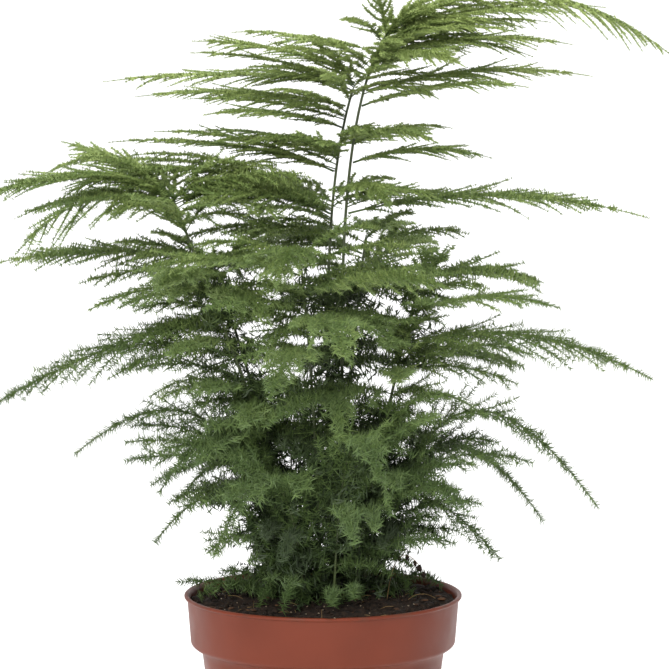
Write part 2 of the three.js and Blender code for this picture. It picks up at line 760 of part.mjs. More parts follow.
let frondNumber = 0;
Object.entries(FRONDS).forEach(([stemName, rows]) => {
  rows.forEach((row) => {
    frondNumber += 1;
    const name = `frond_${String(frondNumber).padStart(2, '0')}`;
    const stem = stemLines.get(stemName);
    const height = row.at === END ? stem.at(-1).z : row.at;
    const { joint, along, place } = placeAtHeight(stem, height);
    const tip = vector(row.tip);
    const stemRadius = THREE.MathUtils.lerp(STEM_RADIUS, STEM_END_RADIUS, place);
    const makeCurve = (swing, lift) => {
      const end = turnedRound(joint, tip, swing);
      end.z += lift;
      const middle = joint.clone().lerp(end, 0.5);
      middle.z += row.crest;
      const heading = middle.sub(joint).normalize();
      return frondCurve(jointStart(joint, along, heading, row.at, stemRadius), end, row.crest);
    };
    const near = (other) => other.tag.node === stemName
      && segmentDistance(joint, joint.clone().addScaledVector(along, 0.1), other.start, other.end) < 12;
    const spec = { hang: USUAL_HANG, ...FROND_FORM, ...row };
    const curve = settleMidrib(makeCurve, spec, name, near);
    grown.push({ name, curve, spec, colour: COLOURS.frond });
  });
});

grown.forEach((one) => Object.assign(one, growFrond(one.curve, one.spec, one.name)));
grown.forEach(growNeedles);

plant.add(makePot());
plant.add(makeSoil(feet));
stemLines.forEach((points, name) => plant.add(makeStem(points, name)));
grown.forEach(({ name, skin, colour }) => plant.add(namedMesh(name, skin.geometry(), colour, 0.7)));

export default plant;
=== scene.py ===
# %% [markdown]
# A potted lace fern, dressed for its portrait
#
# The plant is a common houseplant sold as lace fern. Wiry stems rise from dark potting
# mix in a terracotta-brown nursery pot, and carry tiers of level, feathery fronds.
# The plain solids are already made and weighed. This lesson gives them their looks:
# hundreds of thousands of needles, a moulded plastic skin, and crumbly peat.
# Each step says what the real thing is, how it could be made, and why this way was taken.
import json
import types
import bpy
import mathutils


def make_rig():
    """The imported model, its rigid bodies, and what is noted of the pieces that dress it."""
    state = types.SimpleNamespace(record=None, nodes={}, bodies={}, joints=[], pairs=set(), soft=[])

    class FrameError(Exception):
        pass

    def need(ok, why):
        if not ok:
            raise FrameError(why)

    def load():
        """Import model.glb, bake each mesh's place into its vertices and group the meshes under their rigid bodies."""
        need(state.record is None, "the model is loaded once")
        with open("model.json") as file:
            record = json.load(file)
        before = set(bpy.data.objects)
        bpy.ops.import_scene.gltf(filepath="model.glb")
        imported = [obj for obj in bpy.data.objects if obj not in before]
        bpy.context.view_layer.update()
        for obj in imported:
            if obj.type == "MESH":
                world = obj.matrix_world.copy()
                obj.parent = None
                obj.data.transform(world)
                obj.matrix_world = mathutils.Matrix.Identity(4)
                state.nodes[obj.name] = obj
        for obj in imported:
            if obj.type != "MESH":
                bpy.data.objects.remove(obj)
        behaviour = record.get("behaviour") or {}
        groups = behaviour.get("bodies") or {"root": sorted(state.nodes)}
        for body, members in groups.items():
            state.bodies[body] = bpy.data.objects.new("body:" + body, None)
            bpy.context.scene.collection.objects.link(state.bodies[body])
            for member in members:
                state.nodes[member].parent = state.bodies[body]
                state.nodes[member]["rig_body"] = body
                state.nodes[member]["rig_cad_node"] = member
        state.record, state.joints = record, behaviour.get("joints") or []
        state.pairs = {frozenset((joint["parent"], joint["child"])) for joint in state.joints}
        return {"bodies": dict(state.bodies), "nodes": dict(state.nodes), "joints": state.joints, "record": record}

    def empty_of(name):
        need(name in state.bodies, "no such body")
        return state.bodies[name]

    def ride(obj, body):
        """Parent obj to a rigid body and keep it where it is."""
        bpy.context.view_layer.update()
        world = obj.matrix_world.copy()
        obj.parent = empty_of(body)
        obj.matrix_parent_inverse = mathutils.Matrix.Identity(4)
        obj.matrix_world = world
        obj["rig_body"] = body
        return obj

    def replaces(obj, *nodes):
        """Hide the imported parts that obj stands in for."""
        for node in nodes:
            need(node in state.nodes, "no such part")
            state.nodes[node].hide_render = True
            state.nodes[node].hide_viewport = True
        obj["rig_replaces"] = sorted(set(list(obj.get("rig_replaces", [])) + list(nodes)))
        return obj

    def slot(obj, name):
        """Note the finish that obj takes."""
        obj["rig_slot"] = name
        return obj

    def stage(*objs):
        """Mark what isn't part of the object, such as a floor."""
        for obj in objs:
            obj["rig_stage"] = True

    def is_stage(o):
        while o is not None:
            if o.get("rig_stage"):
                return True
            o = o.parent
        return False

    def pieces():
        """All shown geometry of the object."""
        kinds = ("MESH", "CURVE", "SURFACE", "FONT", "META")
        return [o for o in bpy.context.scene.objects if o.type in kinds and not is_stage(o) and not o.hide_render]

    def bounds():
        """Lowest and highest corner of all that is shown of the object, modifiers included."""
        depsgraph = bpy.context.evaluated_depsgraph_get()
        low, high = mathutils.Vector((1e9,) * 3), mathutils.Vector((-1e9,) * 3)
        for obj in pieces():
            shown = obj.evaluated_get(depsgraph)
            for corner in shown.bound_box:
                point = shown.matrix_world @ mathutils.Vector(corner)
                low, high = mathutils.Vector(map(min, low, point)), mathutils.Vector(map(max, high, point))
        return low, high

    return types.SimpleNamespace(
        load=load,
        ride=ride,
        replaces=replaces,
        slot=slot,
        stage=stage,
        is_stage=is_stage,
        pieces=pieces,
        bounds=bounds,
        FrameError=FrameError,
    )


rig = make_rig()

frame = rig.load()
cad_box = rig.bounds()
print("solids:", len(frame["nodes"]), "box:", cad_box)

# %% Libraries and the working unit
import json
import math
from itertools import combinations
import bpy
import numpy as np
from mathutils import Vector

MM = 0.001
UP = np.array([0.0, 0.0, 1.0])
print("Blender", bpy.app.version_string, "with numpy", np.__version__)

# %% [markdown]
# Chance that repeats itself
#
# No two needles are alike, so their sizes are drawn by chance, but the picture must be
# the same on every run. The solids used a tiny multiply-and-remainder generator for the
# lengths of their side branches. The same generator, started from the same number, gives
# the same lengths here. The fine work uses numpy's own seeded generator.

# %% Two seeded generators
SEED = 4198
MULTIPLIER = 48271
MODULUS = 2147483647
branch_state = SEED


def branch_draw():
    """The next number from 0 to 1, as the solids drew it."""
    global branch_state
    branch_state = branch_state * MULTIPLIER % MODULUS
    return branch_state / MODULUS


def branch_vary(middle, spread):
    """A number that lies within the spread on either side of the middle."""
    return middle + spread * (2 * branch_draw() - 1)


chance = np.random.default_rng(SEED)
print("both generators start from", SEED)

# %% [markdown]
# From arrays to meshes
#
# Blender can build a mesh face by face, but a plant with hundreds of thousands of needles
# would take minutes that way. Filling the mesh's arrays in one stroke takes milliseconds.
# A small collector gathers points, triangles and a finish number for each triangle.


# %% A collector for closed triangle shells
def put_in_scene(name, data):
    """An object made of a mesh, a light or a camera, linked to the scene."""
    thing = bpy.data.objects.new(name, data)
    bpy.context.scene.collection.objects.link(thing)
    return thing


class Shells:
    """Many closed shells on their way to one mesh, in millimetres."""

    def __init__(self):
        self.points = []
        self.triangles = []
        self.finishes = []
        self.count = 0

    def add(self, points, triangles, finish):
        self.points.append(points)
        self.triangles.append(triangles + self.count)
        self.finishes.append(np.full(len(triangles), finish))
        self.count += len(points)

    def build(self, name, materials, smooth_finishes=()):
        """One object of all that was added, with one material for each finish."""
        points = np.concatenate(self.points) * MM
        triangles = np.concatenate(self.triangles)
        finishes = np.concatenate(self.finishes)
        mesh = bpy.data.meshes.new(name)
        mesh.vertices.add(len(points))
        mesh.vertices.foreach_set("co", points.astype(np.float32).ravel())
        mesh.loops.add(triangles.size)
        mesh.loops.foreach_set("vertex_index", triangles.astype(np.int32).ravel())
        mesh.polygons.add(len(triangles))
        mesh.polygons.foreach_set("loop_start", np.arange(0, triangles.size, 3, dtype=np.int32))
        mesh.polygons.foreach_set("material_index", finishes.astype(np.int32))
        mesh.polygons.foreach_set("use_smooth", np.isin(finishes, smooth_finishes))
        for material in materials:
            mesh.materials.append(material)
        mesh.update(calc_edges=True)
        return put_in_scene(name, mesh)


print("points in a fresh collector:", Shells().count)

# %% [markdown]
# Lines that bend
#
# Every stem, midrib and side branch follows a smooth curve given by three or four points.
# Sampling the curve finely and measuring along it gives even steps, whatever its bend.


# %% Curves measured by length
def unit(vectors):
    return vectors / np.linalg.norm(vectors, axis=-1, keepdims=True)


class Line:
    """A Bezier curve whose places are given as shares of its length, from 0 to 1."""

    def __init__(self, controls, steps=200):
        controls = np.array(controls, float)
        order = len(controls) - 1
        t = np.linspace(0, 1, steps + 1)[:, None]
        weights = [math.comb(order, k) * t**k * (1 - t) ** (order - k) for k in range(order + 1)]
        self.points = sum(weight * control for weight, control in zip(weights, controls))
        strides = np.linalg.norm(np.diff(self.points, axis=0), axis=1)
        self.along = np.concatenate([[0], np.cumsum(strides)])
        self.length = self.along[-1]

    def at(self, share):
        wanted = np.asarray(share) * self.length
        return np.stack([np.interp(wanted, self.along, self.points[:, k]) for k in range(3)], axis=-1)

    def heading(self, share, nudge=0.01):
        share = np.asarray(share, float)
        return unit(self.at(np.minimum(share + nudge, 1)) - self.at(np.maximum(share - nudge, 0)))

    def share_at_height(self, height):
        """Where the curve first reaches a height, or nearly its highest point."""
        height = min(height, self.points[:, 2].max() - 1)
        above = np.argmax(self.points[:, 2] >= height)
        return self.along[above] / self.length

    def at_height(self, height):
        return self.at(self.share_at_height(height))


print("a line between 0 and 10 mm measures:", Line([(0, 0, 0), (0, 0, 10)]).length, "mm")

# %% Tubes along a curve
ALMOST_UP = UP + 1e-6


def tube(points, radii, sides):
    """A closed tube: a ring at each point but the last, which is its tip."""
    headings = unit(np.gradient(points, axis=0))
    side = unit(np.cross(headings, ALMOST_UP))
    up = np.cross(side, headings)
    turns = np.arange(sides) * 2 * math.pi / sides
    spokes = np.cos(turns)[None, :, None] * up[:, None] + np.sin(turns)[None, :, None] * -side[:, None]
    rings = points[:-1, None] + spokes[:-1] * np.asarray(radii)[:-1, None, None]
    corners = np.concatenate([rings.reshape(-1, 3), points[:1], points[-1:]])
    return corners, ring_triangles(len(points) - 1, sides)


def ring_triangles(ring_count, sides):
    """The skin over a stack of rings, closed by a point at each end."""
    here = np.arange(sides)
    after = (here + 1) % sides
    triangles = []
    for ring in range(ring_count - 1):
        low = ring * sides
        high = low + sides
        triangles.append(np.stack([low + here, low + after, high + after], 1))
        triangles.append(np.stack([low + here, high + after, high + here], 1))
    first_end = ring_count * sides
    last_ring = first_end - sides
    triangles.append(np.stack([np.full(sides, first_end), after, here], 1))
    triangles.append(np.stack([last_ring + here, last_ring + after, np.full(sides, first_end + 1)], 1))
    return np.concatenate(triangles)


print("triangles over two rings of three sides:", len(ring_triangles(2, 3)))

# %% [markdown]
# The skeleton of the plant
#
# The solids were laid out from a short list: seven stems, the fronds on each, and twelve
# shoots that rise straight from the mix. Repeating the list here, in the same real
# millimetres, puts every fine frond exactly where its solid stands.

# %% Stems, by the points of their curves in millimetres
STEMS = {
    "stem_tall_left": [(7, 5, 95), (2, 8, 240), (-3, 4, 345), (17, 1, 404)],
    "stem_tall_right": [(15, -3, 95), (9, -8, 250), (3, -4, 380), (34, -6, 431)],
    "stem_left_shoulder": [(-8, -2, 95), (-14, -6, 190), (-52, -14, 270), (-79, -20, 344)],
    "stem_left_middle": [(-14, 6, 95), (-18, 12, 180), (-40, 16, 250), (-60, 18, 308)],
    "stem_front": [(0, -12, 95), (-2, -18, 190), (-6, -34, 270), (-12, -48, 316)],
    "stem_back": [(8, 14, 95), (10, 20, 190), (16, 40, 270), (24, 54, 322)],
    "stem_right_middle": [(20, 2, 95), (22, -2, 180), (38, -6, 250), (52, -10, 300)],
}
print("stems:", len(STEMS))

# %% Fronds on each stem
# A row holds the height on the stem (None for its end), the tip, the crest and the longest
# branch. Some go on with how far the branches hang, how much more the near ones hang than
# the far ones, and how far the branches close on the midrib towards its tip.
FRONDS = {
    "stem_tall_left": [
        (334, (-70, -75, 343), 16, 42), (341, (-52, 98, 350), 10, 44), (357, (-88, -25, 379), 12, 34),
        (364, (-32, 100, 373), 8, 42), (371, (62, 74, 379), 8, 40), (380, (-60, -78, 388), 10, 38),
        (391, (-99, -20, 397), 10, 38), (None, (-119, 18, 405), 9, 42),
    ],
    "stem_tall_right": [
        (334, (173, -12, 333), 22, 40), (345, (34, -112, 342), 16, 44), (362, (89, -25, 365), 12, 34),
        (376, (58, -94, 374), 10, 38), (392, (105, -66, 402), 12, 38), (400, (147, 34, 408), 14, 38),
        (408, (-68, -34, 426), 9, 44), (414, (70, -120, 412), 14, 44), (420, (130, -40, 424), 12, 40),
        (426, (62, 84, 446), 10, 42), (None, (194, -18, 410), 60, 40, 0.42, 0.14, 0.2),
    ],
    "stem_left_shoulder": [
        (326, (-96, -88, 346), 14, 34), (331, (-157, -66, 317), 42, 42, 0.3, 0.3, 0.1),
        (337, (-146, 66, 372), 12, 44), (None, (-184, -46, 341), 26, 42),
    ],
    "stem_left_middle": [
        (278, (-180, -22, 231), 16, 38, 0.1, 0.3, 0.75), (289, (-98, 100, 292), 14, 42),
        (299, (-84, -100, 300), 14, 40), (None, (-180, 12, 307), 12, 42),
    ],
    "stem_front": [
        (280, (14, -142, 268), 20, 44), (294, (64, -126, 303), 16, 44), (305, (-94, -112, 311), 14, 44),
        (None, (-22, -152, 306), 16, 46),
    ],
    "stem_back": [
        (284, (-26, 146, 270), 20, 44), (298, (64, 126, 316), 14, 44), (310, (-60, 130, 318), 12, 44),
        (None, (42, 150, 312), 16, 46),
    ],
    "stem_right_middle": [
        (252, (112, 62, 246), 18, 40), (266, (173, -30, 249), 26, 40, 0.1, 0.2, 0.6),
        (283, (122, -64, 289), 14, 36, 0.1, 0.15), (None, (119, 10, 297), 12, 42, 0.1, 0.16, 0.85),
    ],
}
USUAL_HANG = 0.1
print("fronds:", sum(len(rows) for rows in FRONDS.values()))

# %% Shoots from the mix
# A row holds the foot, the tip, the height that the shoot climbs towards, and the longest branch.
SHOOTS = [
    ((-15, -9), (-92, -18, 238), 268, 38),
    ((-20, -2), (-84, -68, 194), 250, 38),
    ((-21, 6), (-135, 16, 203), 258, 38),
    ((-24, -11), (-88, -44, 164), 212, 32),
    ((-17, 14), (-80, 66, 172), 224, 36),
    ((15, -13), (84, -52, 232), 262, 38),
    ((28, -4), (147, -12, 178), 272, 36),
    ((24, 12), (122, 44, 162), 244, 36),
    ((5, -23), (34, -132, 192), 256, 40),
    ((-8, -22), (-54, -112, 168), 232, 38),
    ((0, 22), (-32, 134, 196), 258, 40),
    ((14, 22), (64, 118, 178), 244, 38),
]
FOOT_HEIGHT = 95
print("shoots:", len(SHOOTS))

# %% [markdown]
# Sprays too small to weigh
#
# Between the main fronds grow short side sprays, which fill the plant's middle and give its
# tiers their loose edges. Their tips could be strewn by chance, but that would also close
# the gaps that make the plant airy. So each tip is listed, one row for each, and
# only its branches are left to chance.

# %% Short sprays on each stem
# A row holds the height on the stem, the tip, the crest and the longest branch. A fifth
# number is the height whose manner the spray has, where that isn't the height of its tip.
SPRAYS = {
    "stem_tall_left": [
        (336, (-60, -30, 350), 10, 24), (338, (50, -40, 348), 10, 24), (340, (40, 50, 352), 10, 24),
        (357, (-114, -12, 373), 14, 22), (366, (-44, -24, 372), 10, 26), (366, (-70, 30, 378), 10, 22),
        (368, (-40, -60, 374), 10, 24), (370, (20, -60, 380), 8, 24), (364, (0, -70, 372), 10, 24),
        (386, (-60, 40, 396), 9, 22), (388, (-30, -70, 400), 10, 24), (394, (0, -70, 408), 10, 24),
        (400, (-50, -50, 410), 9, 24), (402, (-20, 60, 412), 9, 22), (402, (40, -60, 412), 10, 24),
        (398, (-44, -20, 404), 12, 26), (396, (44, -24, 402), 10, 22), (385, (-20, -50, 392), 8, 24),
        (403, (-6, -40, 426), 8, 24), (338, (-120, 12, 362), 20, 26, 340),
        (358, (-96, 30, 372), 10, 26), (330, (-40, -60, 336), 12, 26), (376, (30, -30, 376), 10, 22),
        (336, (-104, -10, 366), 22, 25, 340), (336, (-118, -34, 356), 24, 26, 340),
        (400, (-40, -34, 412), 10, 24), (362, (-16, -60, 378), 8, 24), (404, (-70, -20, 420), 10, 26),
        (405, (-20, -50, 424), 8, 26), (360, (-50, -20, 376), 8, 24),
        (332, (-112, -22, 352), 30, 26, 340), (384, (-70, -40, 396), 8, 24),
    ],
    "stem_tall_right": [
        (340, (60, -60, 345), 12, 24), (338, (80, 30, 342), 12, 24), (372, (70, 20, 380), 10, 20),
        (410, (-30, -70, 420), 12, 26), (416, (-50, 40, 432), 10, 24), (414, (40, -90, 424), 12, 26),
        (418, (80, -70, 432), 12, 26), (422, (70, 60, 432), 10, 24), (428, (110, -20, 446), 12, 26),
        (430, (130, -50, 440), 12, 26), (429, (60, -60, 448), 10, 26), (430, (120, 30, 442), 12, 26),
        (430, (90, 0, 454), 10, 26), (426, (10, -60, 436), 10, 24), (416, (86, -30, 424), 10, 26),
        (410, (66, -50, 416), 10, 24), (420, (-30, -10, 424), 10, 26), (406, (74, 10, 404), 10, 24),
        (398, (60, -50, 396), 10, 22), (431, (96, -30, 452), 10, 28), (431, (70, 20, 454), 8, 28),
        (431, (150, -8, 444), 14, 28), (424, (90, -50, 436), 12, 28), (408, (40, -60, 424), 10, 26),
        (414, (78, -24, 420), 12, 26), (425, (84, -10, 430), 12, 26), (424, (100, -60, 430), 12, 26),
        (431, (28, -44, 448), 8, 26), (428, (56, -20, 440), 8, 26), (420, (76, -20, 426), 10, 26),
        (420, (106, 12, 424), 16, 28), (412, (-10, -60, 428), 8, 26), (416, (110, -24, 418), 18, 28),
        (426, (110, 20, 434), 12, 26), (424, (120, -20, 436), 12, 28),
    ],
    "stem_left_shoulder": [
        (341, (-10, -50, 352), 12, 26), (338, (-20, 30, 354), 12, 26), (336, (10, -10, 338), 14, 24),
        (343, (-140, -60, 356), 14, 30), (343, (-130, -10, 364), 14, 28),
        (338, (-110, 50, 356), 12, 26), (342, (-30, -44, 344), 22, 26), (343, (-20, -10, 362), 14, 26),
        (343, (-100, 40, 354), 22, 24), (341, (-136, -44, 344), 24, 26),
        (342, (6, -30, 342), 14, 30, 300), (343, (-6, -60, 356), 12, 30, 300),
        (340, (0, 20, 350), 14, 30, 300), (336, (-20, -60, 336), 14, 28, 290),
        (338, (-150, -30, 338), 16, 28, 320), (336, (-134, 14, 344), 14, 28, 320),
        (334, (-110, -60, 334), 14, 26, 300), (342, (-34, -30, 358), 24, 24, 320),
        (322, (-122, -38, 360), 36, 24, 340), (343, (-140, -4, 358), 30, 24, 340),
        (326, (-18, -30, 356), 34, 26, 330), (334, (-160, -44, 334), 20, 26),
        (330, (-24, -40, 328), 14, 28, 280), (334, (-110, -30, 336), 14, 26, 300),
        (343, (-152, 10, 354), 30, 26), (343, (-78, 36, 358), 12, 26),
    ],
    "stem_left_middle": [
        (300, (10, -20, 312), 12, 26), (304, (-30, -60, 312), 12, 26), (306, (-100, -40, 312), 12, 26),
        (302, (-20, 80, 315), 12, 24), (268, (-100, -20, 268), 12, 24), (262, (-80, -60, 264), 12, 24),
        (266, (-95, 30, 270), 12, 22), (290, (-80, -50, 292), 12, 28), (284, (-40, -80, 288), 12, 28),
        (300, (-90, -30, 326), 14, 28), (302, (-24, -34, 328), 12, 26), (236, (-86, -30, 238), 14, 26),
        (230, (-66, -56, 244), 14, 26), (240, (-100, -10, 252), 14, 24), (226, (-40, -70, 228), 14, 26),
        (302, (-112, -20, 320), 12, 26), (220, (-30, -50, 226), 14, 26),
        (298, (-130, -10, 298), 12, 26), (292, (-122, -40, 286), 14, 26),
        (224, (-70, -20, 232), 14, 26), (278, (-100, -20, 284), 12, 26),
        (284, (-106, -50, 288), 14, 28), (216, (-56, -40, 220), 14, 26),
    ],
    "stem_front": [
        (308, (50, -70, 320), 12, 26), (312, (-70, -60, 320), 12, 26), (300, (70, -30, 304), 12, 26),
        (296, (30, -20, 300), 12, 24), (284, (-60, -90, 290), 12, 28), (314, (30, -60, 330), 12, 26),
        (292, (-54, -50, 296), 12, 26), (276, (40, -70, 272), 14, 26), (262, (-40, -70, 262), 14, 26),
        (282, (-46, -50, 282), 12, 26), (290, (-28, -76, 298), 12, 26), (270, (-30, -60, 272), 12, 26),
    ],
    "stem_back": [
        (312, (80, 40, 322), 12, 26), (316, (-40, 60, 328), 12, 26), (300, (-60, 90, 300), 12, 26),
        (318, (50, 20, 334), 10, 26),
    ],
    "stem_right_middle": [
        (292, (20, -70, 302), 12, 26), (290, (30, 50, 300), 12, 24), (276, (-10, -60, 280), 12, 24),
        (255, (110, -30, 262), 14, 24), (258, (100, 0, 266), 14, 24), (245, (40, -60, 250), 12, 26),
        (235, (60, -30, 238), 12, 26), (250, (104, -10, 244), 12, 20), (297, (66, -24, 312), 10, 24),
        (290, (88, -20, 296), 10, 22), (262, (44, -40, 280), 12, 26), (258, (26, -60, 284), 12, 26),
        (266, (62, -16, 278), 12, 24), (276, (56, -50, 290), 12, 24), (298, (58, -44, 318), 12, 24),
        (254, (34, -60, 268), 14, 26), (268, (20, -50, 276), 12, 24),
    ],
}
print("short sprays:", sum(len(rows) for rows in SPRAYS.values()))

# %% Short sprays on some shoots, by the shoot's number
LOW_SPRAYS = {
    1: [(200, (-105, -20, 214), 12, 22), (212, (-60, -60, 226), 12, 24)],
    2: [(196, (-104, -34, 206), 12, 22), (180, (-50, -60, 190), 12, 24), (206, (-84, -60, 214), 12, 22)],
    3: [(204, (-105, 20, 218), 12, 22), (127, (-79, 8, 134), 7, 15)],
    4: [(160, (-60, -40, 158), 12, 22)],
    5: [(127, (-56, 44, 134), 8, 16)],
    6: [
        (150, (70, -40, 163), 12, 18), (176, (70, -50, 192), 12, 22), (206, (60, -60, 232), 12, 24),
        (190, (40, -66, 196), 12, 24), (184, (80, -34, 204), 12, 24),
    ],
    7: [
        (196, (112, -12, 202), 14, 22), (170, (84, -24, 182), 10, 22), (158, (62, -12, 172), 12, 18),
        (184, (94, -24, 152), 16, 20),
    ],
    8: [(200, (96, 26, 208), 12, 22), (150, (74, 20, 160), 12, 18)],
    10: [(190, (-10, -70, 196), 12, 26), (200, (-60, -40, 210), 12, 24)],
}
print("low sprays:", sum(len(rows) for rows in LOW_SPRAYS.values()))

# %% [markdown]
# Plant green
#
# A leaf is never one green. Upper sprays look yellow-green where light falls on them, and inner
# ones deep and bluish in shade. One way is to paint each frond. A better one lets the shader
# read how high a point is and paints light above and shade below, adds slow noise for patches,
# and gives each needle its own tone.


# %% New materials and colours
def new_material(name):
    material = bpy.data.materials.new(name)
    material.use_nodes = True
    shader = material.node_tree.nodes["Principled BSDF"]
    return material, material.node_tree, shader


def fill_in(node, values):
    """Sets each named input of a shader node to its value."""
    for name, value in values.items():
        node.inputs[name].default_value = value


def colour(red, green, blue):
    """A screen colour from 0 to 255, as linear light."""
    def channel(value):
        value = value / 255
        return value / 12.92 if value <= 0.04045 else ((value + 0.055) / 1.055) ** 2.4

    return (channel(red), channel(green), channel(blue), 1.0)


def grey(value):
    return (value, value, value, 1.0)


print("half-bright grey on the screen, as linear light:", round(colour(128, 128, 128)[0], 3))

# %% Helpers that spread values and colours
def ramp(tree, factor, stops):
    """Colours spread over a factor, from a list of (place, colour)."""
    node = tree.nodes.new("ShaderNodeValToRGB")
    elements = node.color_ramp.elements
    while len(elements) < len(stops):
        elements.new(0.5)
    for element, (place, value) in zip(elements, stops):
        element.position = place
        element.color = value
    tree.links.new(factor, node.inputs["Fac"])
    return node.outputs["Color"]


def noise(tree, scale, detail=3.0, stretch=(1, 1, 1)):
    """Noise fixed to the object, with its scale in turns to the metre."""
    place = tree.nodes.new("ShaderNodeTexCoord")
    mapping = tree.nodes.new("ShaderNodeMapping")
    mapping.inputs["Scale"].default_value = stretch
    node = tree.nodes.new("ShaderNodeTexNoise")
    fill_in(node, {"Scale": scale, "Detail": detail})
    tree.links.new(place.outputs["Object"], mapping.inputs["Vector"])
    tree.links.new(mapping.outputs["Vector"], node.inputs["Vector"])
    return node.outputs["Fac"]


# %% Helpers that combine values
def arithmetic(tree, operation, first, second):
    node = tree.nodes.new("ShaderNodeMath")
    node.operation = operation
    for socket, value in zip(node.inputs, (first, second)):
        if isinstance(value, (int, float)):
            socket.default_value = value
        else:
            tree.links.new(value, socket)
    return node.outputs["Value"]


def centred(tree, value, spread):
    """A value from 0 to 1, brought to lie evenly on both sides of nothing."""
    node = tree.nodes.new("ShaderNodeMath")
    node.operation = "MULTIPLY_ADD"
    tree.links.new(value, node.inputs[0])
    node.inputs[1].default_value = spread
    node.inputs[2].default_value = -spread / 2
    return node.outputs["Value"]


def mapped(tree, value, lowest, highest):
    """A value brought to 0 at its lowest and 1 at its highest."""
    node = tree.nodes.new("ShaderNodeMapRange")
    fill_in(node, {"From Min": lowest, "From Max": highest})
    tree.links.new(value, node.inputs["Value"])
    return node.outputs["Result"]


def mix_colours(tree, factor, first, second):
    """The first colour, covered by the second as far as the factor says."""
    node = tree.nodes.new("ShaderNodeMix")
    node.data_type = "RGBA"
    factor_socket = [socket for socket in node.inputs if socket.name == "Factor"][0]
    first_socket, second_socket = [socket for socket in node.inputs if socket.type == "RGBA"]
    tree.links.new(factor, factor_socket)
    tree.links.new(first, first_socket)
    second_socket.default_value = second
    return [socket for socket in node.outputs if socket.type == "RGBA"][0]


def bump(tree, shader, height, strength, distance):
    """A height that only the light sees, in metres at most the distance."""
    node = tree.nodes.new("ShaderNodeBump")
    fill_in(node, {"Strength": strength, "Distance": distance})
    tree.links.new(height, node.inputs["Height"])
    tree.links.new(node.outputs["Normal"], shader.inputs["Normal"])


# %% Needle greens
# Heights in metres over which the greens go from deep to fresh: painted shade below, painted light above.
PAINTED_SHADE_UP_TO = 0.14
PAINTED_LIGHT_FROM = 0.46
PATCH_SCALE = 22.0
PATCH_SPREAD = 0.9
NEEDLE_SPREAD = 0.5


def needle_material(name, deep, middle, fresh):
    """Green from deep to fresh with height, as painted shade below and painted light above, in patches, and differs
    from needle to needle.
    """
    material, tree, shader = new_material(name)
    geometry = tree.nodes.new("ShaderNodeNewGeometry")
    place = tree.nodes.new("ShaderNodeSeparateXYZ")
    tree.links.new(geometry.outputs["Position"], place.inputs["Vector"])
    # Painted light and shade: the higher a point, the lighter its green.
    height = mapped(tree, place.outputs["Z"], PAINTED_SHADE_UP_TO, PAINTED_LIGHT_FROM)
    patches = centred(tree, noise(tree, PATCH_SCALE), PATCH_SPREAD)
    single = centred(tree, geometry.outputs["Random Per Island"], NEEDLE_SPREAD)
    share = arithmetic(tree, "ADD", height, arithmetic(tree, "ADD", patches, single))
    greens = ramp(tree, share, [(0.0, deep), (0.5, middle), (1.0, fresh)])
    tree.links.new(greens, shader.inputs["Base Color"])
    fill_in(shader, {"Roughness": 0.55, "Specular IOR Level": 0.3})
    return material


# Deep, middle and fresh greens, spread by height as painted shade and painted light.
NEEDLES = needle_material("needle_green", colour(72, 92, 50), colour(96, 116, 62), colour(132, 147, 84))
# A darker copy of the needle green: painted shade for the sprays inside the plant.
PAINTED_SHADE_GREEN = needle_material("painted_shade_needle_green", colour(44, 58, 32), colour(58, 74, 38), colour(84, 100, 52))
print("needle finishes:", NEEDLES.name, PAINTED_SHADE_GREEN.name)

# %% Wiry stalks
STREAK_SCALE = 160.0
STREAK_STRETCH = (1, 1, 0.15)


def stalk_material(name, base, tip):
    """Green wood with fine streaks along it, which also roughen it a little."""
    material, tree, shader = new_material(name)
    streaks = noise(tree, STREAK_SCALE, stretch=STREAK_STRETCH)
    tree.links.new(ramp(tree, streaks, [(0.3, base), (0.7, tip)]), shader.inputs["Base Color"])
    shader.inputs["Roughness"].default_value = 0.5
    bump(tree, shader, streaks, strength=0.3, distance=0.0003)
    return material


STALKS = stalk_material("stalk_green", colour(62, 84, 36), colour(88, 112, 48))
STEM_BARK = stalk_material("stem_bark", colour(50, 60, 34), colour(80, 92, 52))
# The third finish is the darker green of painted shade.
RIB, NEEDLE, PAINTED_SHADE_NEEDLE, STEM_SKIN = range(4)
print("stalk finishes:", STALKS.name, STEM_BARK.name)

# %% [markdown]
# One frond
#
# A frond is a flat, triangular spray. Its midrib sends out side branches, each branch
# carries short twigs, and twigs and branches bear needles two to seven millimetres long.
# Hair strands would be quick, but an exported mesh loses them, so the needles are real
# closed shells. Each pair of needles shares one shell of four or six triangles, and all
# the needles of a branch are worked out at once as arrays.

# %% How side branches leave a midrib
ROOT_ANGLE = math.radians(62)
REACH_ANGLE = math.radians(38)
LAST_NODE = 0.86
NODE_SPACING = 22.4
LOWEST_BRANCH = 0.72
WIDENING = 1.6
NARROWED = 0.72
NARROWING_CURVE = 1.4
EARLY_DROP = 0.15


def outline(place):
    """How long the branches are along the leafy stretch, from 0 at its root to 1."""
    return min(1, LOWEST_BRANCH + WIDENING * place) * (1 - NARROWED * place**NARROWING_CURVE)


def branch_line(root, along, side, length, hang, closing):
    """A side branch that turns towards the midrib's tip and hangs as it goes out."""
    drop = -UP * hang * length
    early = along * math.cos(ROOT_ANGLE * closing) + side * math.sin(ROOT_ANGLE * closing)
    whole = along * math.cos(REACH_ANGLE * closing) + side * math.sin(REACH_ANGLE * closing)
    middle = root + early * length / 2 + drop * EARLY_DROP
    return Line([root, middle, root + whole * length + drop], steps=24)


print("branch lengths from root to tip:", [round(outline(fifth / 5), 2) for fifth in range(6)])

# %% Directions round an axis, and shells joined by the thousand
NEARLY_UP = UP + [0.01, 0.02, 0]


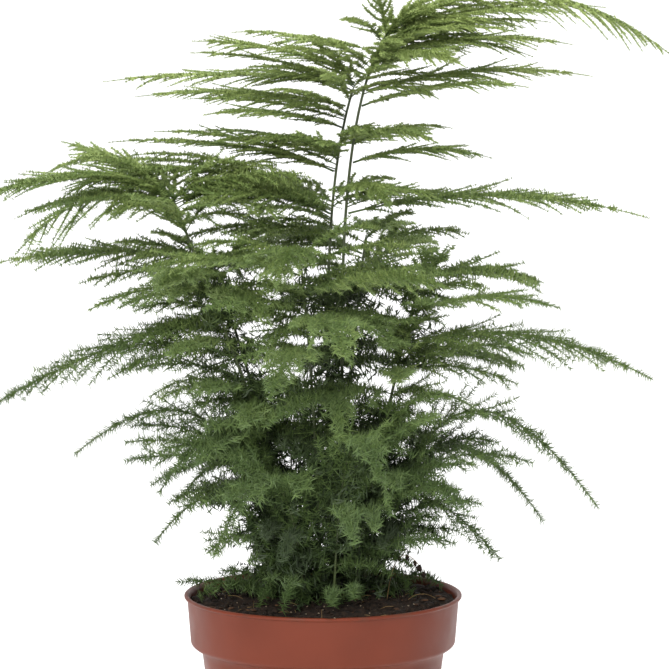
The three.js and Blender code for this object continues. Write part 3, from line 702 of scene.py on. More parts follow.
def rolled(axes, roll):
    """Directions across and above each axis, turned about it by roll."""
    level = unit(np.cross(NEARLY_UP, axes))
    over = np.cross(axes, level)
    cosine = np.cos(roll)[:, None]
    sine = np.sin(roll)[:, None]
    return level * cosine + over * sine, over * cosine - level * sine


def join(shells, corners, faces, finish):
    """Adds many like shells at once: corners has one row of points for each."""
    each = corners.shape[1]
    first = np.arange(len(corners))[:, None, None] * each
    shells.add(corners.reshape(-1, 3), (first + np.array(faces)[None]).reshape(-1, 3), finish)


print("across an upright axis:", rolled(UP[None], np.zeros(1))[0][0].round(2))

# %% Needles, two to a closed shell
SECOND_NEEDLE = 0.85
CROSSING_FACES = [[1, 0, 2], [0, 1, 3], [0, 3, 2], [1, 2, 3]]
FORK_FACES = [[0, 3, 2], [0, 4, 3], [0, 2, 4], [1, 2, 3], [1, 3, 4], [1, 4, 2]]


def add_crossings(shells, roots, axes, roll, slant, lengths, manner):
    """Two needles across a twig, in line or swept forward."""
    across, over = rolled(axes, roll)
    reach = np.sin(slant)[:, None] * axes + np.cos(slant)[:, None] * across
    half = manner["width"] / 2
    ahead = manner["chevron"] * lengths[:, None] * axes + over * half
    left = roots + reach * lengths[:, None] + ahead
    right = roots - reach * lengths[:, None] * SECOND_NEEDLE + ahead
    back = roots - (axes + over) * half
    front = roots + (axes - over) * half
    corners = np.stack([left, right, back, front], axis=1)
    join(shells, corners, CROSSING_FACES, manner["finish"])


def add_forks(shells, roots, axes, roll, slant, lengths, manner):
    """Two needles from one root that both point forward."""
    across, over = rolled(axes, roll)
    forward = np.sin(slant)[:, None] * axes
    sideways = np.cos(slant)[:, None] * across
    half = manner["width"] / 2
    left = roots + (forward + sideways) * lengths[:, None]
    right = roots + (forward - sideways) * lengths[:, None] * SECOND_NEEDLE
    ridge = roots + over * manner["width"]
    corners = np.stack([left, right, roots - axes * half, roots + axes * half, ridge], axis=1)
    join(shells, corners, FORK_FACES, manner["finish"])


print("triangles to a pair of needles:", len(CROSSING_FACES), "in line,", len(FORK_FACES), "forked")

# %% Twigs as spikes
SPIKE_TURNS = (0.5, 2.6, 4.7)
SPIKE_FACES = [[0, 2, 1], [0, 1, 3], [1, 2, 3], [2, 0, 3]]


def add_spikes(shells, roots, aims, lengths, width):
    """Straight twigs, one closed spike each."""
    across, over = rolled(aims, np.zeros(len(roots)))
    half = width / 2
    feet = [roots + (across * math.cos(turn) + over * math.sin(turn)) * half for turn in SPIKE_TURNS]
    corners = np.stack(feet + [roots + aims * lengths[:, None]], axis=1)
    join(shells, corners, SPIKE_FACES, NEEDLE)


print("triangles to a twig:", len(SPIKE_FACES))

# %% [markdown]
# Shaggy below, fine above
#
# Low sprays stand in the shade of the others and keep long needles that stick out all round,
# like a fox's tail. High ones are pressed flat, and end in thin bare tips. One list of numbers
# for the lowest manner and one for the highest, blended by height, covers every spray.

# %% The manner of a spray at a height
SHAGGY_HEIGHT = 230
FINE_HEIGHT = 360
MANNERS = {
    "tilt": (0.3, 0.14),  # how much more the near branches hang than the far ones
    "closing": (0.65, 0.5),  # least share of the usual angle to the midrib
    "narrowing": (0.35, 0.75),  # how far that angle shrinks by the tip
    "arm_radius": (0.4, 0.85),
    "brush": (1.05, 1.4),  # needle pairs to a millimetre of branch
    "midrib_brush": (1.9, 1.7),  # the same on the midrib
    "twig": (6.5, 5.0),
    "twigs_end": (0.72, 0.9),  # share of the branch where its twigs stop
    "twig_gap": (5.6, 4.8),
    "twig_angle": (0.6, 0.42),
    "twig_width": (0.5, 0.9),
    "twig_needles": (0.8, 0.85),  # needle pairs to a millimetre of twig
    "needle": (6.2, 2.6),
    "width": (0.52, 0.46),
    "round": (1.57, 0.9),  # how far from level the needles turn
    "fade": (0.25, 0.6),  # how much shorter they are at the tip
    "chevron": (0.0, 0.3),  # how far they sweep forward
}


def manner_for(height):
    high = float(np.clip((height - SHAGGY_HEIGHT) / (FINE_HEIGHT - SHAGGY_HEIGHT), 0, 1))
    manner = {name: low + (top - low) * high for name, (low, top) in MANNERS.items()}
    manner["extra_arms"] = 2 + round(high)
    manner["forked"] = high < 0.5
    manner["finish"] = NEEDLE
    return manner


print("a low spray's needles:", manner_for(SHAGGY_HEIGHT)["needle"], "mm")

# %% Needles at given places
# Here and below, a pair of numbers holds the least and the most that chance may draw.
FEWEST = 3
NEEDLE_SIZES = (0.7, 1.15)
FORK_SLANT = 0.5
SLANT_SPREAD = 0.2


def needles_at(shells, roots, axes, sizes, manner, forked=False):
    """Needles all round the given places, pressed level on the finer sprays."""
    count = len(roots)
    roll = chance.uniform(-1, 1, count) * manner["round"]
    lengths = sizes * manner["needle"] * chance.uniform(*NEEDLE_SIZES, count)
    slant = chance.normal(FORK_SLANT if forked else 0.0, SLANT_SPREAD, count)
    add_pairs = add_forks if forked else add_crossings
    add_pairs(shells, roots, axes, roll, slant, lengths, manner)


def needles_along(shells, branch, manner, start, brush):
    """Needles evenly along a branch, shorter towards its tip."""
    count = max(FEWEST, int(branch.length * (1 - start) * brush))
    shares = start + (1 - start) * (np.arange(count) + chance.uniform(0, 1, count)) / count
    sizes = 1 - manner["fade"] * shares**2
    needles_at(shells, branch.at(shares), branch.heading(shares), sizes, manner, manner["forked"])


print("longest needle:", round(manner_for(0)["needle"] * NEEDLE_SIZES[1], 1), "mm")

# %% Twigs along a branch, with needles of their own
# Twigs shrink towards the branch's tip, and their needles crowd towards the twig's foot.
TWIG_SHARES = (0.02, 0.99)
TWIG_SLIP = 0.3
TWIG_ROLL = 0.5
TWIG_SIZES = (0.7, 1.25)
TWIG_SPREAD = 0.12
BEYOND_TIP = 1.1
LEAST_TWIG = 0.08
TWIG_TAPER = 0.8
BARE_FOOT = 0.05
TOWARDS_FOOT = 1.25
FIRST_NEEDLE = 0.9
NEEDLE_FADE = 0.4


def add_twigs(shells, branch, twig, manner, start):
    """Twigs on alternate sides of one branch, shorter towards its tip, with their needles."""
    count = max(FEWEST, int(branch.length * (manner["twigs_end"] - start) / manner["twig_gap"]))
    slips = chance.uniform(-TWIG_SLIP, TWIG_SLIP, count) / count
    shares = np.clip(np.linspace(start, manner["twigs_end"], count) + slips, *TWIG_SHARES)
    roots = branch.at(shares)
    axes = branch.heading(shares)
    side = np.where(np.arange(count) % 2, 1.0, -1.0)
    across = rolled(axes, chance.normal(0, TWIG_ROLL, count))[0]
    taper = np.clip(BEYOND_TIP - shares, LEAST_TWIG, 1) ** TWIG_TAPER
    lengths = twig * taper * chance.uniform(*TWIG_SIZES, count)
    angle = chance.normal(manner["twig_angle"], TWIG_SPREAD, count)
    aims = unit(np.cos(angle)[:, None] * axes + (np.sin(angle) * side)[:, None] * across)
    add_spikes(shells, roots, aims, lengths, manner["twig_width"])
    per_twig = np.maximum(1, np.round(lengths * manner["twig_needles"])).astype(int)
    owner = np.repeat(np.arange(count), per_twig)
    place = BARE_FOOT + (1 - BARE_FOOT) * chance.uniform(0, 1, len(owner)) ** TOWARDS_FOOT
    needle_roots = roots[owner] + aims[owner] * (lengths[owner] * place)[:, None]
    sizes = (FIRST_NEEDLE - NEEDLE_FADE * place) * (1 - manner["fade"] * shares[owner] ** 2)
    needles_at(shells, needle_roots, aims[owner], sizes, manner)


print("longest twig:", round(manner_for(0)["twig"] * TWIG_SIZES[1], 1), "mm")

# %% The midrib and its branches
RIB_STEP = 7
FEWEST_RIB_STEPS = 8
RIB_SIDES = 5
RIB_WAIST = 0.35
WAIST_WIDTH = 0.6
RIB_TIP = 0.18
RIB_TWIG = 0.8
ARM_STEP = 16
ARM_SIDES = 3
ARM_TIP = 0.35
ARM_START = 0.06
ARM_TWIG = 0.34
HANG_SPREAD = 0.06
WIDEST_ANGLE = 1.05


def grow(shells, line, arms, form, manner):
    """The midrib with its list of (share, reach, side) arms."""
    steps = max(FEWEST_RIB_STEPS, int(line.length / RIB_STEP))
    shares = np.linspace(0, 1, steps + 1)
    radius = form["radius"]
    taper = np.interp(shares, [0, RIB_WAIST, 1], [radius, radius * WAIST_WIDTH, RIB_TIP])
    shells.add(*tube(line.at(shares), taper, RIB_SIDES), RIB)
    tilt = form.get("tilt", manner["tilt"])
    narrowing = form.get("narrowing", manner["narrowing"])
    for share, reach, side in arms:
        heading = line.heading(share)
        out = unit(np.cross(heading, UP)) * side
        hang = form["hang"] - tilt * out[1] + chance.normal(0, HANG_SPREAD)
        closing = chance.uniform(manner["closing"], WIDEST_ANGLE) * (1 - narrowing * share)
        branch = branch_line(line.at(share), heading, out, reach, hang, closing)
        bends = FEWEST + int(reach / ARM_STEP)
        radii = np.linspace(manner["arm_radius"], manner["arm_radius"] * ARM_TIP, bends)
        shells.add(*tube(branch.at(np.linspace(0, 1, bends)), radii, ARM_SIDES), NEEDLE)
        add_twigs(shells, branch, min(reach * ARM_TWIG, manner["twig"]), manner, ARM_START)
        needles_along(shells, branch, manner, ARM_START, manner["brush"])
    add_twigs(shells, line, manner["twig"] * RIB_TWIG, manner, form["first"])
    needles_along(shells, line, manner, form["first"], manner["midrib_brush"])


# %% Where the arms of a frond stand
BRANCH_SPREAD = 0.14
BARE_FROM = 0.95
TIP_THINNING = 0.45
THINNING_CURVE = 4
ARM_SLIP = 0.15
SIDE_SLIP = 0.2
EXTRA_REACH = (0.6, 1.08)
INNER_ARMS = ((0.35, 0.45), (0.7, 0.65))
INNER_REACH = (0.8, 1.1)


def arm_reach(form, within, vary):
    """The length of an arm that stands within the leafy stretch, thinned near the tip."""
    return form["wide"] * outline(within) * vary * (1 - TIP_THINNING * within**THINNING_CURVE)


def frond_arms(line, form, extra_arms):
    """The solid's own pairs, with the same drawn lengths, and finer arms between them."""
    leafy = LAST_NODE - form["first"]
    node_count = max(FEWEST, round(line.length * leafy / NODE_SPACING))
    arms = []
    for node in range(node_count):
        within = node / (node_count - 1)
        for side in (1, -1):
            reach = arm_reach(form, within, branch_vary(1, BRANCH_SPREAD))
            arms.append((form["first"] + leafy * within, reach, side))
    for node in range(node_count - 1):
        for extra in range(extra_arms):
            for side in (1, -1):
                slip = chance.uniform(-ARM_SLIP, ARM_SLIP) + SIDE_SLIP * side
                within = (node + (extra + 1 + slip) / (extra_arms + 1)) / (node_count - 1)
                reach = arm_reach(form, within, chance.uniform(*EXTRA_REACH))
                if within < BARE_FROM:
                    arms.append((form["first"] + leafy * within, reach, side))
    for share, width in INNER_ARMS:
        for side in (1, -1):
            reach = form["wide"] * width * chance.uniform(*INNER_REACH)
            arms.append((form["first"] * share, reach, side))
    return arms


print("share of a midrib beyond its last arms:", round(1 - LAST_NODE, 2))

# %% [markdown]
# Placing every frond
#
# A frond's midrib starts a hair clear of its stem, rises to a low crest and sinks to its
# tip. A shoot does the same from a foot buried in the mix. The order of the draws matters
# here: shoots come first, as they did when the solids were made.

# %% Midribs of shoots and fronds
RISE_SHARE = 0.06
RISE_HEIGHT = 0.86
BEND_SHARE = 0.45
END_GAP = 0.6
SIDE_GAP = 1.4


def shoot_line(foot, tip, peak):
    """A shoot that rises steeply from its foot and arches over to its tip."""
    foot = np.array([*foot, FOOT_HEIGHT], float)
    tip = np.array(tip, float)

    def part_way(share, height):
        return np.array([*(foot[:2] + (tip[:2] - foot[:2]) * share), height])

    return Line([foot, part_way(RISE_SHARE, peak * RISE_HEIGHT), part_way(BEND_SHARE, peak), tip])


def frond_line(stem, at, tip, crest):
    """A midrib that leaves the stem's end, or its side at a height."""
    share = 1.0 if at is None else stem.share_at_height(at)
    joint = stem.at(share)
    along = stem.heading(share)
    tip = np.array(tip, float)
    heading = unit((joint + tip) / 2 + UP * crest - joint)
    straight = heading @ along
    if at is None:
        start = joint + along * END_GAP
    else:
        start = joint + unit(heading - along * straight) * SIDE_GAP
    return Line([start, (start + tip) / 2 + UP * crest, tip])


print("first shoot's midrib:", round(shoot_line(*SHOOTS[0][:3]).length), "mm long")


# %% What each piece stands for
def dress(piece, node, slot):
    """The piece rides on the one body and stands for its node."""
    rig.ride(piece, "root")
    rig.replaces(piece, node)
    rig.slot(piece, slot)


print("solids to be dressed:", len(frame["nodes"]))

# %% [markdown]
# Filling in round the stalks
#
# The plant's heart is a dark thicket, in which no single branch can be followed. Copies of
# one branch would show as a pattern. So each stalk gets rings of small sprays, whorls of
# short dark twigs, and the listed sprays, all grown by the same rules as a frond.

# %% Small sprays
ARM_PAIR_GAP = 11.5
FEWEST_PAIRS = 4
FIRST_PAIR = 0.1
LEAFY_STRETCH = 0.78
PAIR_SHIFT = 0.02
PAIR_REACH = (0.65, 1.1)
SMALL_FORM = {"radius": 0.36, "first": 0.06, "hang": USUAL_HANG}


def small_spray(shells, line, wide, manner):
    """A short frond along a line, its arms in loose pairs."""
    arms = []
    count = max(FEWEST_PAIRS, int(line.length / ARM_PAIR_GAP))
    for number in range(count):
        within = (number + 0.5) / count
        for side in (1, -1):
            reach = wide * outline(within) * chance.uniform(*PAIR_REACH)
            arms.append((FIRST_PAIR + LEAFY_STRETCH * within + PAIR_SHIFT * side, reach, side))
    grow(shells, line, arms, SMALL_FORM, manner)


def reach_out(shells, stalk, height, tip, crest, wide, like=None):
    """One more spray from a stalk to a given tip, as shaggy as one at the height it's like."""
    start = stalk.at_height(height)
    line = Line([start, (start + np.array(tip)) / 2 + UP * crest, tip])
    small_spray(shells, line, wide, manner_for(like or tip[2]))


# %% Sprays all round a stalk
# Light shows between the tiers on the right, so high sprays that point there are shorter.
# Below that height every other spray is dark with painted shade, which gives the thicket its depth.
GOLDEN_TURN = math.radians(137.5)
POINTS_RIGHT = 0.3
OPEN_RIGHT_HEIGHT = 215
OPEN_RIGHT_REACH = 0.75
SHADED_BELOW = 215
RING_PLACES = (0.2, 0.8)
RING_REACH = (0.8, 1.15)
RING_ARCH = 0.16
RING_DROP = (0.02, 0.2)
RING_WIDTH = (0.27, 0.36)
INNER_CHANGES = {"width": 0.52, "brush": 1.15, "twig_needles": 0.7, "forked": False}


def level_way(turn):
    return np.array([math.cos(turn), math.sin(turn), 0.0])


def ring_of_sprays(shells, stalk, lowest, highest, count, lengths, turn):
    """Sprays between two heights, longer towards the top, low ones by turns in the darker green of painted shade."""
    for number in range(count):
        up = (number + chance.uniform(*RING_PLACES)) / count
        height = lowest + (highest - lowest) * up
        start = stalk.at_height(height)
        reach = (lengths[0] + (lengths[1] - lengths[0]) * up) * chance.uniform(*RING_REACH)
        way = level_way(turn + number * GOLDEN_TURN)
        if way[0] > POINTS_RIGHT and height > OPEN_RIGHT_HEIGHT:
            reach *= OPEN_RIGHT_REACH
        top = start + way * reach * 0.5 + UP * reach * RING_ARCH
        line = Line([start, top, start + way * reach - UP * reach * chance.uniform(*RING_DROP)])
        manner = {**manner_for(height), **INNER_CHANGES}
        # Painted shade: every other low spray takes the darker green.
        if number % 2 and height < SHADED_BELOW:
            manner["finish"] = PAINTED_SHADE_NEEDLE
        small_spray(shells, line, reach * chance.uniform(*RING_WIDTH), manner)


print("turn from spray to spray:", round(math.degrees(GOLDEN_TURN), 1), "degrees")

# %% A spray that droops over the mix
CROWN_HEIGHT = 120
CROWN_LIKE = 150
CROWN_SWING = 0.5
CROWN_REACH = (24, 48)
CROWN_CREST = (24, 44)
CROWN_CREST_SHARE = 0.45
CROWN_TIP_HEIGHT = (127, 138)
CROWN_WIDTH = 0.36
NEAR_RIM = 66
RIM_RISE = 0.8


def crown_spray(shells, stalk, outward):
    """A spray from the foot of a stalk that rises, droops and clears the pot's lip."""
    start = stalk.at_height(CROWN_HEIGHT)
    way = level_way(outward + chance.normal(0, CROWN_SWING))
    reach = chance.uniform(*CROWN_REACH)
    end = start + way * reach
    radius = math.hypot(end[0], end[1])
    end[2] = chance.uniform(*CROWN_TIP_HEIGHT) + max(0, radius - NEAR_RIM) * RIM_RISE
    crest = start + way * reach * CROWN_CREST_SHARE + UP * chance.uniform(*CROWN_CREST)
    manner = {**manner_for(CROWN_LIKE), **INNER_CHANGES}
    small_spray(shells, Line([start, crest, end]), reach * CROWN_WIDTH, manner)


# %% Whorls of short twigs, their needles darkened with painted shade
TUFT_ARMS = 8
TUFT_NEEDLES = 6
TUFT_SWING = 0.3
TUFT_RISE = 0.1
TUFT_RISE_SPREAD = 0.35
TUFT_REACH = (0.6, 1.1)
TUFT_PLACES = (0.15, 1.0)
TUFT_TWIG_WIDTH = 0.8
# The whorls' needles take the darker green of painted shade.
TUFT_MANNER = {**manner_for(0), "width": 0.85, "finish": PAINTED_SHADE_NEEDLE}


def add_tufts(shells, stalk, lowest, highest, count, reach):
    """Whorls close round a stalk, which hide it among their needles."""
    heights = chance.uniform(lowest, highest, count)
    centres = np.array([stalk.at_height(height) for height in heights])
    roots = np.repeat(centres, TUFT_ARMS, axis=0)
    total = len(roots)
    turns = np.arange(total) * GOLDEN_TURN + chance.normal(0, TUFT_SWING, total)
    rises = chance.normal(TUFT_RISE, TUFT_RISE_SPREAD, total)
    aims = unit(np.stack([np.cos(turns), np.sin(turns), np.sin(rises)], axis=1))
    lengths = reach * chance.uniform(*TUFT_REACH, total)
    add_spikes(shells, roots, aims, lengths, TUFT_TWIG_WIDTH)
    owner = np.repeat(np.arange(total), TUFT_NEEDLES)
    place = chance.uniform(*TUFT_PLACES, len(owner))
    needle_roots = roots[owner] + aims[owner] * (lengths[owner] * place)[:, None]
    needles_at(shells, needle_roots, aims[owner], 1 - NEEDLE_FADE * place, TUFT_MANNER)


print("pairs of needles to a whorl:", TUFT_ARMS * TUFT_NEEDLES)

# %% [markdown]
# Shoots, fronds and stems
#
# Each solid gets one dressed piece in its place, named after it, with its own branches first
# and then the small growth round it. Hundreds of separate sprays would be easier to move, but
# one mesh a piece keeps the scene to sixty objects, which is lighter and easier to follow.

# %% Grow the shoots
# Light shows low down on the left, so the two shoots there get no ring and no crown.
OPEN_SHOOTS = (3, 4)
SHOOT_FORM = {"radius": 1.05, "first": 0.33, "hang": USUAL_HANG}
SHOOT_TURN = 2.1
triangle_total = 0
for number, (foot, tip, peak, wide) in enumerate(SHOOTS, 1):
    form = {**SHOOT_FORM, "wide": wide}
    line = shoot_line(foot, tip, peak)
    manner = manner_for(tip[2])
    shells = Shells()
    grow(shells, line, frond_arms(line, form, manner["extra_arms"]), form, manner)
    if number not in OPEN_SHOOTS:
        turn = number * SHOOT_TURN
        ring_of_sprays(shells, line, lowest=140, highest=190, count=3, lengths=(28, 54), turn=turn)
    add_tufts(shells, line, lowest=130, highest=215, count=10, reach=20)
    if number not in OPEN_SHOOTS:
        crown_spray(shells, line, math.atan2(foot[1], foot[0]))
    for spray in LOW_SPRAYS.get(number, []):
        reach_out(shells, line, *spray)
    node = f"shoot_{number:02d}"
    piece = shells.build(f"leafy_{node}", [STEM_BARK, NEEDLES, PAINTED_SHADE_GREEN], smooth_finishes=(RIB,))
    dress(piece, node, "shoot")
    triangle_total += len(piece.data.polygons)
print("shoot triangles:", triangle_total)

# %% Grow the fronds
FROND_FORM = {"radius": 0.6, "first": 0.16, "hang": USUAL_HANG}
stem_lines = {name: Line(points) for name, points in STEMS.items()}
number = 0
for stem_name, rows in FRONDS.items():
    for at, tip, crest, wide, *lean in rows:
        number += 1
        form = {**FROND_FORM, "wide": wide}
        form.update(zip(("hang", "tilt", "narrowing"), lean))
        line = frond_line(stem_lines[stem_name], at, tip, crest)
        manner = manner_for(tip[2])
        shells = Shells()
        grow(shells, line, frond_arms(line, form, manner["extra_arms"] + 1), form, manner)
        node = f"frond_{number:02d}"
        piece = shells.build(f"leafy_{node}", [STALKS, NEEDLES], smooth_finishes=(RIB,))
        dress(piece, node, "frond")
        triangle_total += len(piece.data.polygons)
print("shoot and frond triangles:", triangle_total)

# %% Wiry stems with their own low sprays
STEM_STEPS = 60
STEM_SIDES = 8
STEM_TAPER = (1.05, 0.65)
STEM_TURN = 0.9
STEM_FINISHES = [STALKS, NEEDLES, PAINTED_SHADE_GREEN, STEM_BARK]
RING_FROM = 180
RING_SPACING = 22
RING_BELOW_FROND = 6
RING_LOWEST_REACH = 62
RING_TOP_REACH = 66
REACH_GROWS_FROM = 200
REACH_GROWTH = 0.35
for number, (name, line) in enumerate(stem_lines.items()):
    shares = np.linspace(0, 1, STEM_STEPS + 1)
    shells = Shells()
    shells.add(*tube(line.at(shares), np.interp(shares, [0, 1], STEM_TAPER), STEM_SIDES), STEM_SKIN)
    for spray in SPRAYS[name]:
        reach_out(shells, line, *spray)
    add_tufts(shells, line, lowest=132, highest=300, count=26, reach=24)
    first_frond = min(row[0] for row in FRONDS[name] if row[0])
    count = int((first_frond - RING_FROM) / RING_SPACING)
    top_reach = RING_TOP_REACH + (first_frond - REACH_GROWS_FROM) * REACH_GROWTH
    highest = first_frond - RING_BELOW_FROND
    lengths = (RING_LOWEST_REACH, top_reach)
    ring_of_sprays(shells, line, RING_FROM, highest, count, lengths, turn=number * STEM_TURN)
    piece = shells.build(f"wiry_{name}", STEM_FINISHES, smooth_finishes=(RIB, STEM_SKIN))
    dress(piece, name, "stem")
    triangle_total += len(piece.data.polygons)
print("foliage triangles:", triangle_total)

# %% [markdown]
# A moulded nursery pot
#
# The pot is moulded from brown plastic a millimetre and a half thick, with a broad band
# under a thin rolled lip. It could be carved from a block, but a moulded round thing is
# quickest drawn as half its outline, spun round. The outline's corners are eased first,
# because no moulded edge is razor sharp, and it is the eased edges that catch the light.

# %% The outline, with its corners eased
# A row holds a corner's radius and height, and how far its ease reaches along both edges.
POT_OUTLINE = [
    ((0, 0), 0), ((14, 0), 0.6), ((15.5, 3), 0.6), ((47.5, 3), 0.6), ((49, 0), 0.5), ((51, 0), 0.6),
    ((52.5, 1.5), 0.8), ((65.5, 99), 2), ((67, 101.25), 0.6), ((70, 102), 0.6), ((71.5, 103.5), 0.9),
    ((73.4, 127.8), 0.7), ((75, 128.35), 0.4), ((75, 129.45), 0.4), ((73.9, 130), 0.4),
    ((72.6, 129.45), 0.5), ((71.8, 127.8), 0.5), ((69.9, 105), 1.5), ((63.9, 100.5), 1.5),
    ((50.9, 5), 1.5), ((0, 5), 0),
]
EASE_POINTS = 4
LONGEST_EASE = 0.45


def eased(corners):
    """Each corner is swapped for a short curve, which takes up less than half an edge."""
    result = []
    for index, (corner, ease) in enumerate(corners):
        corner = np.array(corner, float)
        if not ease:
            result.append(corner)
            continue
        before = np.array(corners[index - 1][0], float) - corner
        after = np.array(corners[index + 1][0], float) - corner
        start = corner + unit(before) * min(ease, np.linalg.norm(before) * LONGEST_EASE)
        end = corner + unit(after) * min(ease, np.linalg.norm(after) * LONGEST_EASE)
        for t in np.linspace(0, 1, EASE_POINTS):
            result.append(start * (1 - t) ** 2 + corner * 2 * t * (1 - t) + end * t * t)
    return np.array(result)


def spin(outline_points, sides):
    """A closed turned body from an outline whose first and last points lie on the axis."""
    turns = np.arange(sides) * 2 * math.pi / sides
    radii = outline_points[1:-1, :1]
    heights = np.repeat(outline_points[1:-1, 1:], sides, axis=1)
    rings = np.stack([radii * np.cos(turns), radii * np.sin(turns), heights], axis=-1)
    ends = np.array([[0, 0, outline_points[0][1]], [0, 0, outline_points[-1][1]]])
    return np.concatenate([rings.reshape(-1, 3), ends]), ring_triangles(len(radii), sides)


print("pot outline:", len(POT_OUTLINE), "corners, eased to", len(eased(POT_OUTLINE)), "points")

# %% The pot, with a small nick in its lip
POT_SIDES = 128
NICK_TURN = math.radians(-86)
NICK_WIDTH = math.radians(1.6)
NICK_DEPTH = 0.55
NICK_FROM_HEIGHT = 129
pot_points, pot_triangles = spin(eased(POT_OUTLINE), POT_SIDES)
turn = np.arctan2(pot_points[:, 1], pot_points[:, 0])
nick = np.exp(-(((turn - NICK_TURN) / NICK_WIDTH) ** 2)) * (pot_points[:, 2] > NICK_FROM_HEIGHT)
pot_points[:, 2] -= NICK_DEPTH * nick
shells = Shells()
shells.add(pot_points, pot_triangles, 0)
pot_piece = shells.build("nursery_pot", [], smooth_finishes=(0,))
print("pot width:", 2 * pot_points[:, 0].max(), "mm, height:", pot_points[:, 2].max(), "mm")

# %% Eight drain holes
DRAIN_RING = 31.0
DRAIN_RADIUS = 4.0
DRAIN_HOLES = 8
POST_SIDES = 24
POST_HEIGHTS = (-5, 10)
low, high = POST_HEIGHTS
post_outline = np.array([[0, low], [DRAIN_RADIUS, low], [DRAIN_RADIUS, high], [0, high]])
post_points, post_triangles = spin(post_outline, POST_SIDES)
shells = Shells()
for hole in range(DRAIN_HOLES):
    turn = (hole + 0.5) * 2 * math.pi / DRAIN_HOLES
    shells.add(post_points + level_way(turn) * DRAIN_RING, post_triangles, 0)
posts = shells.build("drain_posts", [])
bore = pot_piece.modifiers.new("drain_holes", "BOOLEAN")
bore.operation = "DIFFERENCE"
bore.solver = "EXACT"
bore.object = posts
worked_out = pot_piece.evaluated_get(bpy.context.evaluated_depsgraph_get())
bored = bpy.data.meshes.new_from_object(worked_out)
pot_piece.modifiers.clear()
pot_piece.data = bored
bpy.data.objects.remove(posts)
dress(pot_piece, "pot", "pot")
print("pot triangles:", len(bored.polygons))

# %% [markdown]
# Brown plastic with a soft sheen
#
# The plastic is dull brown and hardly varies. Its sheen is uneven, it has faint level lines
# from its mould, and dried mix is smeared along the lip. A picture could be wrapped
# round it, but would blur close up. Noise of a few sizes stays sharp at any distance.

# %% The tone, with dried mix along the lip
TONE_SCALE = 26.0
SMEAR_SCALE = 90.0
SMEARS_FROM = 0.1265
SMEARS_FULL = 0.1295
SMEAR_COVER = 0.55
pot_material, tree, shader = new_material("pot_plastic")
mottle = noise(tree, TONE_SCALE, detail=4.0)
tone = ramp(tree, mottle, [(0.3, colour(94, 39, 21)), (0.7, colour(106, 45, 25))])
place = tree.nodes.new("ShaderNodeTexCoord")
split = tree.nodes.new("ShaderNodeSeparateXYZ")
tree.links.new(place.outputs["Object"], split.inputs["Vector"])
near_lip = mapped(tree, split.outputs["Z"], SMEARS_FROM, SMEARS_FULL)
smears = ramp(tree, noise(tree, SMEAR_SCALE, detail=5.0), [(0.5, grey(0.0)), (0.68, grey(1.0))])
dust = arithmetic(tree, "MULTIPLY", near_lip, smears)
cover = arithmetic(tree, "MULTIPLY", dust, SMEAR_COVER)
dusty_tone = mix_colours(tree, cover, tone, colour(74, 50, 38))
tree.links.new(dusty_tone, shader.inputs["Base Color"])
print("shader nodes for the tone:", len(tree.nodes))

# %% The sheen and the mould's faint lines
SHEEN_SCALE = 60.0
LINE_SCALE = 240.0
sheen = ramp(tree, noise(tree, SHEEN_SCALE, detail=4.0), [(0.3, grey(0.4)), (0.7, grey(0.52))])
tree.links.new(sheen, shader.inputs["Roughness"])
shader.inputs["Specular IOR Level"].default_value = 0.22
level_lines = noise(tree, LINE_SCALE, detail=2.0, stretch=(0.1, 0.1, 1))
bump(tree, shader, level_lines, strength=0.08, distance=0.0002)
pot_piece.data.materials.append(pot_material)
print("pot finish:", pot_material.name, "with", len(tree.nodes), "shader nodes")

# %% [markdown]
# Peat, bark and grit
#
# Potting mix is dark, fibrous peat that has settled into lumps. Crumbs, a few
# bark chips, pale grit and dry threads lie on it. A flat disc with a bumpy shader would look
# like felt from this low angle, so the lumps are real heights and the crumbs real solids.

# %% A lumpy surface from many waves
LIP_HEIGHT = 130.0
MIX_BELOW_LIP = 4.0
MIX_MOUND = 2.5
MIX_EDGE = 71.2
LUMP_HEIGHT = 1.5
LUMP_SPREAD = 8
CRUST_HEIGHT = 0.5
CRUST_PACE = 0.7
FAST_WAVE_LOSS = 0.4
EDGE_CALM = 0.4
EDGE_POWER = 6
WAVES = 90
wave_turn = chance.uniform(0, 2 * math.pi, WAVES)
wave_count = chance.uniform(0.1, 1.3, WAVES)
wave_phase = chance.uniform(0, 2 * math.pi, WAVES)


def mix_height(x, y):
    """The height of the mix's surface in millimetres."""
    swell = 0
    for turn, pace, phase in zip(wave_turn, wave_count, wave_phase):
        wave = np.cos((x * math.cos(turn) + y * math.sin(turn)) * pace + phase)
        swell = swell + wave / (FAST_WAVE_LOSS + pace)
    radius = np.hypot(x, y) / MIX_EDGE
    lumps = LUMP_HEIGHT * np.tanh(swell / LUMP_SPREAD) + CRUST_HEIGHT * np.abs(np.sin(swell * CRUST_PACE))
    calm = 1 - EDGE_CALM * radius**EDGE_POWER
    return LIP_HEIGHT - MIX_BELOW_LIP + MIX_MOUND * (1 - radius**2) + lumps * calm


print("mix height at the middle:", mix_height(0, 0), "mm")

